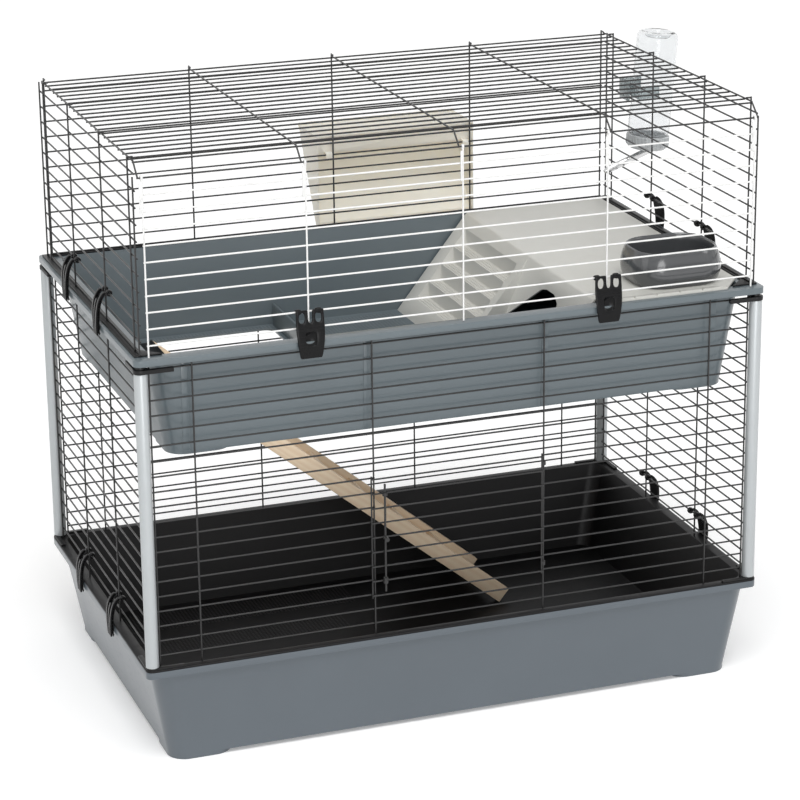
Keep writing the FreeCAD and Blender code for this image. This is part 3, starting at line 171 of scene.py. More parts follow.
class CageColours(bpy.types.PropertyGroup):
    """Base colours of the finishes."""
    tub: colour("Lower tub", "Blue-grey moulded plastic", (0.095, 0.114, 0.132))
    # The upper tub is the same plastic as the lower one; its lighter colour is painted light for the lit
    # upper storey, against the more shaded lower tub
    upper_tub: colour("Upper tub", "Blue-grey moulded plastic", (0.115, 0.142, 0.156))
    tray: colour("Tray", "Black moulded plastic", (0.0065, 0.0063, 0.0068))
    trim: colour("Trim", "Black clips, caps and frames", (0.006, 0.006, 0.0064))
    wire: colour("Black wire", "Black coated wire", (0.006, 0.0058, 0.006))
    white_wire: colour("White wire", "White coated wire", (0.80, 0.80, 0.79))
    post: colour("Posts", "Light grey painted posts", (0.46, 0.485, 0.495))
    shelter: colour("Shelter", "Light warm grey plastic", (0.62, 0.615, 0.575))
    bowl: colour("Bowl", "Dark grey glossy plastic", (0.065, 0.068, 0.072))
    rack: colour("Hay rack", "Milky beige plastic", (0.92, 0.83, 0.69))
    bottle: colour("Bottle", "Clear bottle", (0.90, 0.91, 0.915))
    cap: colour("Bottle cap", "Silvery see-through cap", (0.66, 0.68, 0.69))
    holder: colour("Bottle holder", "Grey see-through holder", (0.46, 0.51, 0.52))
    steel: colour("Spout", "Polished steel", (0.62, 0.62, 0.62))
    wood_light: colour("Light wood", "Early wood of the ladder", (0.95, 0.78, 0.58))
    wood_dark: colour("Dark wood", "Late wood of the ladder", (0.86, 0.66, 0.46))
    floor: colour("Floor", "Plain pale studio floor", (0.90, 0.90, 0.90))


def sizes():
    return bpy.context.scene.cage_sizes


def colours():
    return bpy.context.scene.cage_colours


# Helpers for shader nodes

MIX_A, MIX_B, MIX_OUT = 6, 7, 2
GREY = (0.5, 0.5, 0.5, 1.0)
WHITE = (1.0, 1.0, 1.0, 1.0)


def new_group(name, inputs, outputs):
    """An empty node group with these sockets; returns it with what it is given and its end."""
    tree = bpy.data.node_groups.new(name, "ShaderNodeTree")
    for kind, label, value in inputs:
        socket = tree.interface.new_socket(label, in_out="INPUT", socket_type="NodeSocket" + kind)
        socket.default_value = value
    for kind, label in outputs:
        tree.interface.new_socket(label, in_out="OUTPUT", socket_type="NodeSocket" + kind)
    return tree, tree.nodes.new("NodeGroupInput").outputs, tree.nodes.new("NodeGroupOutput")


def feed(tree, source, socket):
    """Links an output to a socket, or sets the socket to a plain value."""
    if hasattr(source, "is_output"):
        tree.links.new(source, socket)
    else:
        socket.default_value = source


def feed_all(tree, node, **values):
    """Feeds a node's inputs by their labels."""
    for label, value in values.items():
        feed(tree, value, node.inputs[label.replace("_", " ")])


def add_node(tree, kind, links=(), **settings):
    node = tree.nodes.new("ShaderNode" + kind)
    for key, value in settings.items():
        setattr(node, key, value)
    for source, socket in links:
        feed(tree, source, node.inputs[socket])
    return node


def math_node(tree, operation, a, b=0.0, c=0.0, clamp=False):
    links = (a, 0), (b, 1), (c, 2)
    return add_node(tree, "Math", links, operation=operation, use_clamp=clamp).outputs[0]


def vector_node(tree, operation, *values):
    links = [(value, place) for place, value in enumerate(values)]
    return add_node(tree, "VectorMath", links, operation=operation).outputs[0]


def range_node(tree, value, start, end, low, high):
    links = (value, 0), (start, 1), (end, 2), (low, 3), (high, 4)
    return add_node(tree, "MapRange", links).outputs[0]


def mix_node(tree, factor, a, b, blend="MIX"):
    links = (factor, "Factor"), (a, MIX_A), (b, MIX_B)
    return add_node(tree, "Mix", links, data_type="RGBA", blend_type=blend).outputs[MIX_OUT]


def noise_node(tree, place, scale, detail, rough=0.5):
    links = (place, "Vector"), (scale, "Scale"), (detail, "Detail"), (rough, "Roughness")
    return add_node(tree, "TexNoise", links).outputs


def split_node(tree, vector):
    return add_node(tree, "SeparateXYZ", ((vector, 0),)).outputs


def object_place(tree):
    return add_node(tree, "TexCoord").outputs["Object"]


def facing_up(tree):
    """How far a face looks up."""
    return split_node(tree, add_node(tree, "NewGeometry").outputs["Normal"])["Z"]


# Shader node groups that several finishes share

def moulded_grain():
    """Fine moulded grain with soft patches of tone and gloss."""
    tree, given, end = new_group("Moulded grain", (
        ("Color", "Color", GREY), ("Float", "Spread", 0.1), ("Float", "Grain", 900.0),
        ("Float", "Patch", 7.0), ("Float", "Gloss", 0.4), ("Float", "Gloss spread", 0.12)),
        (("Color", "Color"), ("Float", "Roughness"), ("Float", "Height")))
    place = object_place(tree)
    fine = noise_node(tree, place, given["Grain"], 2.0)["Fac"]
    soft = noise_node(tree, place, given["Patch"], 4.0, 0.6)["Fac"]
    swing = math_node(tree, "SUBTRACT", soft, 0.5)
    gain = math_node(tree, "MULTIPLY_ADD", swing, given["Spread"], 1.0)
    tone = add_node(tree, "VectorMath", ((given["Color"], 0), (gain, "Scale")), operation="SCALE").outputs[0]
    gloss = math_node(tree, "MULTIPLY_ADD", swing, given["Gloss spread"], given["Gloss"])
    rough = math_node(tree, "MULTIPLY_ADD", fine, 0.06, gloss)
    feed_all(tree, end, Color=tone, Roughness=rough, Height=fine)
    return tree


def settled_dust():
    """Thin dust on faces that look up."""
    tree, given, end = new_group("Settled dust", (
        ("Color", "Color", GREY), ("Color", "Dust", GREY), ("Float", "Amount", 0.1),
        ("Float", "Scale", 30.0)), (("Color", "Color"), ("Float", "Mask")))
    lift = range_node(tree, facing_up(tree), 0.3, 1.0, 0.15, 1.0)
    specks = noise_node(tree, object_place(tree), given["Scale"], 8.0, 0.65)["Fac"]
    cut = range_node(tree, specks, 0.42, 0.75, 0.0, 1.0)
    mask = math_node(tree, "MULTIPLY", math_node(tree, "MULTIPLY", lift, cut), given["Amount"], clamp=True)
    feed_all(tree, end, Color=mix_node(tree, mask, given["Color"], given["Dust"]), Mask=mask)
    return tree


def fine_scratches():
    """Short straight scratches that run along one axis."""
    tree, given, end = new_group("Fine scratches", (
        ("Vector", "Stretch", (3.0, 160.0, 160.0)), ("Float", "Amount", 0.3)), (("Float", "Mask"),))
    drawn = vector_node(tree, "MULTIPLY", object_place(tree), given["Stretch"])
    lines = noise_node(tree, drawn, 1.0, 3.0)["Fac"]
    cut = range_node(tree, lines, 0.58, 0.72, 0.0, 1.0)
    feed_all(tree, end, Mask=math_node(tree, "MULTIPLY", cut, given["Amount"]))
    return tree


def grip_pattern():
    """Small raised squares in a rectangle of a floor that looks up."""
    tree, given, end = new_group("Grip pattern", (
        ("Vector", "Centre", (0, 0, 0)), ("Vector", "Half", (0.1, 0.1, 0.1)), ("Float", "Pitch", 0.009)),
        (("Float", "Height"),))
    moved = vector_node(tree, "SUBTRACT", object_place(tree), given["Centre"])
    room = vector_node(tree, "SUBTRACT", given["Half"], vector_node(tree, "ABSOLUTE", moved))
    height = math_node(tree, "GREATER_THAN", facing_up(tree), 0.7)
    for gap in split_node(tree, room):
        height = math_node(tree, "MULTIPLY", height, math_node(tree, "GREATER_THAN", gap))
    spots = split_node(tree, moved)
    cell = math_node(tree, "DIVIDE", math.tau, given["Pitch"])
    for axis in (0, 1):
        wave = math_node(tree, "SINE", math_node(tree, "MULTIPLY", spots[axis], cell))
        square = math_node(tree, "MULTIPLY", math_node(tree, "ADD", wave, 0.3), 1.6, clamp=True)
        height = math_node(tree, "MULTIPLY", height, square)
    feed_all(tree, end, Height=height)
    return tree


def wood_figure():
    """Straight grain of planed softwood along one axis, with pores."""
    tree, given, end = new_group("Wood figure", (
        ("Color", "Light", GREY), ("Color", "Dark", GREY), ("Vector", "Turn", (0, 0, 0)),
        ("Float", "Rings", 42.0)), (("Color", "Color"), ("Float", "Height"), ("Float", "Roughness")))
    links = (object_place(tree), "Vector"), (given["Turn"], "Rotation")
    plank = add_node(tree, "Mapping", links).outputs[0]
    drawn = vector_node(tree, "MULTIPLY", plank, (0.10, 1.0, 1.0))
    sway = noise_node(tree, drawn, 9.0, 3.0)["Color"]
    bent = vector_node(tree, "MULTIPLY_ADD", sway, (0.05, 0.05, 0.05), drawn)
    links = (bent, "Vector"), (given["Rings"], "Scale"), (2.2, "Distortion"), (2.0, "Detail")
    rings = add_node(tree, "TexWave", links, wave_type="RINGS", rings_direction="X").outputs["Fac"]
    fibre = vector_node(tree, "MULTIPLY", plank, (14.0, 900.0, 900.0))
    pores = noise_node(tree, fibre, 1.0, 2.0)["Fac"]
    share = math_node(tree, "MULTIPLY_ADD", rings, 0.62, math_node(tree, "MULTIPLY", pores, 0.38))
    rough = math_node(tree, "MULTIPLY_ADD", pores, 0.2, 0.5)
    tone = mix_node(tree, share, given["Light"], given["Dark"])
    feed_all(tree, end, Color=tone, Height=share, Roughness=rough)
    return tree


GROUPS = {}


def place_group(tree, maker, **values):
    """A node of a shared group, which is made on its first use; returns its outputs."""
    if maker not in GROUPS:
        GROUPS[maker] = maker()
    node = tree.nodes.new("ShaderNodeGroup")
    node.node_tree = GROUPS[maker]
    feed_all(tree, node, **values)
    return node.outputs


# Finishes

def opaque(rgb):
    return (rgb[0], rgb[1], rgb[2], 1.0)


def shader_of(tree):
    return next(n for n in tree.nodes if n.type == "BSDF_PRINCIPLED")


def new_finish(name):
    material = bpy.data.materials.new(name)
    material.use_nodes = True
    return material, material.node_tree, shader_of(material.node_tree)


def bump(tree, node, height, strength, distance):
    """Bump on the normal of a shader, or under another bump."""
    links = (height, "Height"), (strength, "Strength"), (distance, "Distance")
    tree.links.new(add_node(tree, "Bump", links).outputs[0], node.inputs["Normal"])


def moulded_finish(name, rgb, gloss, spread=0.14, grain=900.0, depth=0.05, dust=0.12, coat=0.0, scratch=0.25,
                   shine=0.5, glow=0.0):
    """Moulded plastic: grain, patches of tone, dust on top faces and fine scratches."""
    material, tree, shader = new_finish(name)
    base = place_group(tree, moulded_grain, Color=opaque(rgb), Spread=spread, Grain=grain, Patch=7.0,
                       Gloss=gloss, Gloss_spread=0.16)
    dusty = place_group(tree, settled_dust, Color=base["Color"], Amount=dust, Scale=38.0,
                        Dust=opaque([c * 0.6 + 0.22 for c in rgb]))
    marks = place_group(tree, fine_scratches, Stretch=(22.0, 40.0, 420.0), Amount=scratch)
    dull = math_node(tree, "MULTIPLY_ADD", dusty["Mask"], 0.5, base["Roughness"])
    rough = math_node(tree, "MULTIPLY_ADD", marks["Mask"], 0.25, dull)
    feed_all(tree, shader, Base_Color=dusty["Color"], Roughness=rough, Coat_Weight=coat, Coat_Roughness=0.12,
             Specular_IOR_Level=shine, Subsurface_Weight=glow, Subsurface_Radius=(1.0, 0.9, 0.75),
             Subsurface_Scale=0.012)
    bump(tree, shader, base["Height"], depth, 0.6 * MM)
    return material


def add_grip(material, pads, level, distance, tip_highlight):
    """Small raised squares on the floor of a moulded piece, with a painted highlight on their raised tops."""
    tree = material.node_tree
    shader = shader_of(tree)
    total = None
    for x, y, half_x, half_y in pads:
        pad = place_group(tree, grip_pattern, Centre=(x, y, level), Half=(half_x, half_y, GRIP_ZONE),
                          Pitch=GRIP_PITCH)["Height"]
        total = pad if total is None else math_node(tree, "ADD", total, pad)
    bump(tree, shader.inputs["Normal"].links[0].from_node, total, 0.9, distance)
    # Painted highlight: grey is added to the colour on the raised tops of the squares, where light would
    # catch them
    plain = shader.inputs["Base Color"].links[0].from_socket
    share = math_node(tree, "MULTIPLY", total, tip_highlight)
    feed_all(tree, shader, Base_Color=mix_node(tree, share, plain, GREY, "ADD"))


def wire_finish(name, rgb, gloss, shine):
    """Dip-coated wire with a lightly uneven coat."""
    material, tree, shader = new_finish(name)
    base = place_group(tree, moulded_grain, Color=opaque(rgb), Spread=0.3, Grain=420.0, Patch=60.0,
                       Gloss=gloss, Gloss_spread=0.2)
    feed_all(tree, shader, Base_Color=base["Color"], Roughness=base["Roughness"], Specular_IOR_Level=shine)
    bump(tree, shader, base["Height"], 0.12, 0.4 * MM)
    return material


def painted_finish(name, rgb):
    """Satin paint on drawn steel tube, with faint draw lines."""
    material, tree, shader = new_finish(name)
    base = place_group(tree, moulded_grain, Color=opaque(rgb), Spread=0.06, Grain=1400.0, Patch=12.0,
                       Gloss=0.32, Gloss_spread=0.1)
    lines = place_group(tree, fine_scratches, Stretch=(300.0, 300.0, 2.0), Amount=0.4)
    rough = math_node(tree, "MULTIPLY_ADD", lines["Mask"], 0.16, base["Roughness"])
    feed_all(tree, shader, Base_Color=base["Color"], Roughness=rough, Metallic=0.25)
    bump(tree, shader, base["Height"], 0.04, 0.4 * MM)
    return material


def clear_finish(name, rgb, gloss, through, bend):
    """Clear plastic with faint handling haze."""
    material, tree, shader = new_finish(name)
    base = place_group(tree, moulded_grain, Color=opaque(rgb), Spread=0.05, Grain=260.0, Patch=18.0,
                       Gloss=gloss, Gloss_spread=0.06)
    feed_all(tree, shader, Base_Color=base["Color"], Roughness=base["Roughness"], Transmission_Weight=through,
             IOR=bend)
    return material


def steel_finish(name, rgb):
    """Turned and polished steel."""
    material, tree, shader = new_finish(name)
    base = place_group(tree, moulded_grain, Color=opaque(rgb), Spread=0.08, Grain=1500.0, Patch=40.0,
                       Gloss=0.16, Gloss_spread=0.1)
    lines = place_group(tree, fine_scratches, Stretch=(900.0, 60.0, 60.0), Amount=0.5)
    rough = math_node(tree, "MULTIPLY_ADD", lines["Mask"], 0.2, base["Roughness"])
    feed_all(tree, shader, Base_Color=base["Color"], Roughness=rough, Metallic=1.0)
    return material


def wood_finish(name, light, dark, turn):
    """Bare planed softwood."""
    material, tree, shader = new_finish(name)
    figure = place_group(tree, wood_figure, Light=opaque(light), Dark=opaque(dark), Turn=turn, Rings=34.0)
    dusty = place_group(tree, settled_dust, Color=figure["Color"], Amount=0.10, Scale=55.0,
                        Dust=opaque([c * 0.8 + 0.12 for c in light]))
    feed_all(tree, shader, Base_Color=dusty["Color"], Roughness=figure["Roughness"])
    bump(tree, shader, figure["Height"], 0.16, 0.8 * MM)
    return material


def tub_finish(name, rgb):
    return moulded_finish(name, rgb, 0.30, dust=0.05, coat=0.25)


FINISHES = {}


def finish(name):
    """The finish of that name, made on its first use."""
    if name not in FINISHES:
        c = colours()
        makers = {
            "tub": lambda: tub_finish("tub_plastic", c.tub),
            # A lighter copy of the tub plastic: painted light on the upper tub
            "upper_tub": lambda: tub_finish("upper_tub_plastic", c.upper_tub),
            "tray": lambda: moulded_finish("tray_plastic", c.tray, 0.42, spread=0.35, dust=0.02, shine=0.22),
            "trim": lambda: moulded_finish("black_trim_plastic", c.trim, 0.38, spread=0.3, dust=0.03,
                                           shine=0.28),
            "clip": lambda: moulded_finish("clip_plastic", c.trim, 0.24, spread=0.3, dust=0.01, depth=0.04,
                                           shine=0.16),
            "wire": lambda: wire_finish("black_wire_coat", c.wire, 0.34, 0.6),
            "white_wire": lambda: wire_finish("white_wire_coat", c.white_wire, 0.30, 0.5),
            "post": lambda: painted_finish("post_paint", c.post),
            "shelter": lambda: moulded_finish("shelter_plastic", c.shelter, 0.42, spread=0.05, dust=0.08),
            "bowl": lambda: moulded_finish("bowl_plastic", c.bowl, 0.16, spread=0.2, depth=0.015, dust=0.03,
                                           coat=0.6, scratch=0.4),
            "rack": lambda: moulded_finish("rack_plastic", c.rack, 0.34, spread=0.06, depth=0.03, dust=0.04,
                                           glow=0.85),
            "bottle": lambda: clear_finish("bottle_clear", c.bottle, 0.03, 1.0, 1.25),
            "cap": lambda: clear_finish("cap_plastic", c.cap, 0.22, 0.45, 1.3),
            "holder": lambda: clear_finish("holder_plastic", c.holder, 0.25, 0.6, 1.3),
            "steel": lambda: steel_finish("spout_steel", c.steel),
            "wood": lambda: wood_finish("ladder_wood", c.wood_light, c.wood_dark, (0.0, -SLOPE, 0.0)),
            "cleat": lambda: wood_finish("cleat_wood", c.wood_light, c.wood_dark, (0.0, -SLOPE, math.pi / 2)),
        }
        FINISHES[name] = makers[name]()
        if name == "upper_tub":
            add_grip(FINISHES[name], UPPER_PADS, FLOOR_UP, 2.0 * MM, 0.12)
        if name == "tray":
            add_grip(FINISHES[name], TRAY_PADS, FLOOR_LOW, 1.8 * MM, 0.06)
    return FINISHES[name]


# Modelling helpers on bmesh operators

def settle(bm, name, coat, body, nodes=(), sharp=38.0, levels=0):
    """Turns a bmesh into a finished piece that rides on a body and may stand for CAD nodes."""
    mesh = bpy.data.meshes.new(name)
    bm.to_mesh(mesh)
    bm.free()
    mesh.materials.append(finish(coat))
    mesh.shade_smooth()
    mesh.set_sharp_from_angle(angle=math.radians(sharp))
    piece = bpy.data.objects.new(name, mesh)
    bpy.context.scene.collection.objects.link(piece)
    if levels:
        soft = piece.modifiers.new("Soft form", "SUBSURF")
        soft.levels = soft.render_levels = levels
    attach(piece, body)
    if nodes:
        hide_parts(*nodes)
    return piece


def paint(node, coat):
    for slot in frame["nodes"][node].material_slots:
        slot.material = finish(coat)


def sharp_edges(bm, degrees):
    limit = math.radians(degrees)
    return [e for e in bm.edges if len(e.link_faces) == 2 and e.calc_face_angle(0.0) > limit]


def round_edges(bm, edges, offset, segments=2):
    bmesh.ops.bevel(bm, geom=edges, offset=offset, offset_type="OFFSET", segments=segments, profile=0.5,
                    affect="EDGES", clamp_overlap=True, material=-1)


def merged(node):
    """A merged copy of a CAD node's mesh."""
    bm = bmesh.new()
    bm.from_mesh(frame["nodes"][node].data)
    bmesh.ops.remove_doubles(bm, verts=bm.verts, dist=2e-6)
    bmesh.ops.dissolve_limit(bm, angle_limit=math.radians(1.0), verts=bm.verts, edges=bm.edges)
    return bm


def softened(node, offset, segments=2):
    """A merged copy of a CAD node's mesh with its sharp edges rounded."""
    bm = merged(node)
    round_edges(bm, sharp_edges(bm, CAD_SHARP), offset, segments)
    return bm


def dress(node, ending, coat, offset, segments=2):
    """Puts a softened copy with a finish in a CAD node's place."""
    settle(softened(node, offset, segments), node + ending, coat, BODY_OF[node], [node])


def block(bm, low, high):
    """A box between two corners; returns its vertices."""
    low, high = Vector(low), Vector(high)
    size = high - low
    move = Matrix.Translation((low + high) / 2) @ Matrix.Diagonal((*size, 1.0))
    return bmesh.ops.create_cube(bm, size=1.0, matrix=move)["verts"]


def round_block(bm, low, high, radius, segments):
    """A box with round upright corners; returns its lower and upper vertices."""
    before = set(bm.verts)
    verts = block(bm, low, high)
    upright = [e for e in {e for v in verts for e in v.link_edges}
               if abs(e.verts[0].co.z - e.verts[1].co.z) > 1e-6]
    round_edges(bm, upright, radius, segments)
    made = [v for v in bm.verts if v not in before]
    middle = (low[2] + high[2]) / 2
    return [v for v in made if v.co.z < middle], [v for v in made if v.co.z > middle]


def flat_face(bm, verts):
    """The level face that these vertices bound."""
    chosen = set(verts)
    faces = [f for f in bm.faces if all(v in chosen for v in f.verts) and abs(f.normal.z) > 0.9]
    return max(faces, key=lambda f: f.calc_area())


def turn_about(bm, verts, angle, axis):
    bmesh.ops.rotate(bm, verts=verts, cent=(0, 0, 0), matrix=Matrix.Rotation(angle, 3, axis))


def eye(bm, axis, radius, span, place):
    """A ring along X or Y that turns on a wire."""
    rings = [bmesh.ops.create_circle(bm, cap_ends=False, radius=r, segments=20)["verts"]
             for r in (radius, WIRE_BORE)]
    edges = {e for ring in rings for v in ring for e in v.link_edges}
    face = bmesh.ops.bridge_loops(bm, edges=list(edges))["faces"]
    out = bmesh.ops.extrude_face_region(bm, geom=face)["geom"]
    top = [g for g in out if isinstance(g, bmesh.types.BMVert)]
    bmesh.ops.translate(bm, verts=top, vec=(0, 0, span))
    verts = rings[0] + rings[1] + top
    bmesh.ops.translate(bm, verts=verts, vec=(0, 0, -span / 2))
    turn_about(bm, verts, math.pi / 2, {"X": "Y", "Y": "X"}[axis])
    bmesh.ops.translate(bm, verts=verts, vec=place)


def turned(bm, profile, steps):
    """A profile of radius and height in millimetres, spun round Z; returns its vertices."""
    before = set(bm.verts)
    verts = [bm.verts.new((r * MM, 0.0, z * MM)) for r, z in profile]
    edges = [bm.edges.new(pair) for pair in zip(verts, verts[1:])]
    bmesh.ops.spin(bm, geom=verts + edges, cent=(0, 0, 0), axis=(0, 0, 1), angle=2 * math.pi, steps=steps,
                   use_merge=True, use_duplicate=False)
    made = [v for v in bm.verts if v not in before]
    bmesh.ops.remove_doubles(bm, verts=made, dist=1e-6)
    made = [v for v in bm.verts if v not in before]
    bmesh.ops.recalc_face_normals(bm, faces=list({f for v in made for f in v.link_faces}))
    return made


def plate(bm, columns, rows, holes, shape, thick):
    """A grid with holes, bent by shape(column, row) and given its thickness."""
    before = set(bm.verts)
    nx, ny = len(columns) - 1, len(rows) - 1
    grid = bmesh.ops.create_grid(bm, x_segments=nx, y_segments=ny, size=0.5)["verts"]
    cells = {}
    for face in {f for v in grid for f in v.link_faces}:
        c = face.calc_center_median()
        cells[(int((c.x + 0.5) * nx), int((0.5 - c.y) * ny))] = face
    bmesh.ops.delete(bm, geom=[cells[h] for h in holes], context="FACES")
    grid = [v for v in grid if v.is_valid]
    for v in grid:
        i, j = round((v.co.x + 0.5) * nx), round((0.5 - v.co.y) * ny)
        v.co = shape(columns[i], rows[j])
    faces = list({f for v in grid for f in v.link_faces})
    bmesh.ops.recalc_face_normals(bm, faces=faces)
    bmesh.ops.solidify(bm, geom=faces, thickness=thick)
    made = [v for v in bm.verts if v not in before]
    bmesh.ops.recalc_face_normals(bm, faces=list({f for v in made for f in v.link_faces}))


def along(points, share):
    """A place on a broken line given by (share, value) pairs."""
    for (a, u), (b, w) in zip(points, points[1:]):
        if share <= b:
            return u + (w - u) * (share - a) / (b - a)
    return points[-1][1]


# Operators, one for each piece or group of like pieces

class CAGE_OT_tubs(bpy.types.Operator):
    """Both moulded tubs, the black tray and the guard beside the hatch"""
    bl_idname = "cage.tubs"
    bl_label = "Tubs and tray"

    def execute(self, context):
        s = sizes()
        dress("lower_tub", "_shell", "tub", s.tub_round, 3)
        dress("lower_tray", "_shell", "tray", s.tub_round * 0.6)
        settle(self.upper_shell(s), "upper_tub_shell", "upper_tub", "cage", ["upper_tub"])
        dress("hatch_guard", "_wall", "upper_tub", s.tub_round)
        self.ribs()
        return {"FINISHED"}

    def upper_shell(self, s):
        """The upper tub with the thin skirt of its rim."""
        bm = merged("upper_tub")
        level = min(v.co.z for v in bm.verts if abs(v.co.x) > HALF_LONG - 0.5 * MM)
        inside_x, inside_y = HALF_LONG - 5 * MM, HALF_DEEP - 5 * MM
        skirt = [v for v in bm.verts if abs(v.co.z - level) < 0.1 * MM
                 and (abs(v.co.x) > inside_x or abs(v.co.y) > inside_y)]
        bmesh.ops.translate(bm, verts=skirt, vec=(0, 0, s.skirt_trim))
        round_edges(bm, sharp_edges(bm, CAD_SHARP), s.tub_round, 3)
        return bm

    def ribs(self):
        """Very shallow upright ribs on the long walls of the upper tub."""
        top, foot = RIM_UP - RIB_TOP, RIM_UP - RIB_FOOT
        bm = bmesh.new()
        for x in RIB_PLACES:
            for side in (-1, 1):
                verts = block(bm, (x - RIB_HALF, -RIB_DEEP, foot), (x + RIB_HALF, RIB_DEEP, top))
                for v in verts:
                    v.co.y += side * (WALL_FOOT + WALL_LEAN * (v.co.z - foot) / (top - foot))
        round_edges(bm, sharp_edges(bm, BLOCK_SHARP), 0.3 * MM)
        settle(bm, "upper_tub_ribs", "upper_tub", "cage")


class CAGE_OT_wirework(bpy.types.Operator):
    """Coats on the wire panels, the roof and both doors"""
    bl_idname = "cage.wirework"
    bl_label = "Wire panels and doors"

    def execute(self, context):
        for node in NODES:
            if SLOT_OF[node] == "black_wire":
                paint(node, "wire")
        paint("upper_door", "white_wire")
        self.tails()
        return {"FINISHED"}

    def tails(self):
        """Short wire ends that run back down beside the uprights of the upper door."""
        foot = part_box("upper_door")[0].z + 0.4 * MM
        hinge = Vector(HINGES["upper_front"]["pos_m"])
        ends = {}
        for v in frame["nodes"]["upper_door"].data.vertices:
            if v.co.z < foot:
                ends.setdefault(round(v.co.x / (6 * MM)), []).append(v.co)
        bm = bmesh.new()
        for _, near in sorted(ends.items()):
            x, y = (sum(c[axis] for c in near) / len(near) for axis in (0, 1))
            rod = turned(bm, TAIL, 12)
            bmesh.ops.translate(bm, verts=rod, vec=(x - TAIL_ASIDE, y, hinge.z - TAIL_BELOW))
        settle(bm, "upper_door_wire_tails", "white_wire", "upper_front")


class CAGE_OT_posts(bpy.types.Operator):
    """Corner posts with their feet, caps and the black rim frame"""
    bl_idname = "cage.posts"
    bl_label = "Posts and rim frame"

    def execute(self, context):
        s = sizes()
        for node in NODES:
            if node.startswith(("post_foot", "post_cap")):
                dress(node, "_moulding", "trim", s.trim_round)
            elif node.startswith("post_"):
                dress(node, "_tube", "post", s.post_round)
        dress("rim_frame", "_strip", "trim", s.trim_round)
        return {"FINISHED"}


class CAGE_OT_clips(bpy.types.Operator):
    """Side clips: two round prongs on a wire and three curved ribs over the rim"""
    bl_idname = "cage.clips"
    bl_label = "Side clips"

    def execute(self, context):
        for node in NODES:
            if node.startswith("clip_"):
                self.clip(node)
        return {"FINISHED"}

    def clip(self, node):
        s = sizes()
        low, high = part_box(node)
        hinge = Vector(HINGES[BODY_OF[node]]["pos_m"])
        out = high.x - hinge.x if hinge.x > 0 else hinge.x - low.x
        drop = hinge.z - low.z - (s.skirt_trim if hinge.z > RIM_UP else 0.0)
        wide = high.y - low.y
        bend = ((0.0, 4.2 * MM), (0.07, 7.4 * MM), (0.18, out - 7.0 * MM), (0.36, out - 3.6 * MM),
                (0.56, out - 2.6 * MM), (0.78, out - 2.6 * MM), (1.0, out - 3.4 * MM))
        fall = ((0.0, 0.6 * MM), (0.07, -1.4 * MM), (0.18, -drop * 0.13), (0.36, -drop * 0.33),
                (0.56, -drop * 0.55), (0.78, -drop * 0.78), (1.0, -drop + 0.6 * MM))
        taper = ((0.0, 1.0), (0.4, 1.0), (1.0, 0.55))
        rows = (0.0, 0.07, 0.18, 0.36, 0.56, 0.78, 0.93, 1.0)
        web = (-0.5, -0.44, -0.14, 0.14, 0.44, 0.5)
        web_gap = [(2, 0), (2, 1)]
        bm = bmesh.new()

        def bent(shift):
            return lambda c, r: Vector((along(bend, r) + shift, c * along(taper, r), along(fall, r)))

        plate(bm, [c * wide for c in web], rows, web_gap, bent(-1.5 * MM), s.clip_thick * 0.5)
        for spot in (-0.37, 0.0, 0.37):
            first = 2 if spot == 0.0 else 0
            columns = [spot * wide + share * s.rib_wide / 2 for share in (-1.0, -0.8, 0.8, 1.0)]
            plate(bm, columns, rows[first:], [], bent(0.7 * MM), s.clip_thick)
        for side in (-1, 1):
            eye(bm, "Y", 5.2 * MM, 8 * MM, (0, side * (wide / 2 - 4 * MM), 0))
        hook = wide * 0.24
        block(bm, (out - 7.3 * MM, -hook, -drop + 0.3 * MM), (out - 3 * MM, hook, -drop + 3.4 * MM))
        turn_about(bm, bm.verts, 0.0 if hinge.x > 0 else math.pi, "Z")
        middle = Vector((hinge.x, (low.y + high.y) / 2, hinge.z))
        bmesh.ops.translate(bm, verts=bm.verts, vec=middle)
        settle(bm, node + "_moulding", "clip", BODY_OF[node], [node], levels=1)


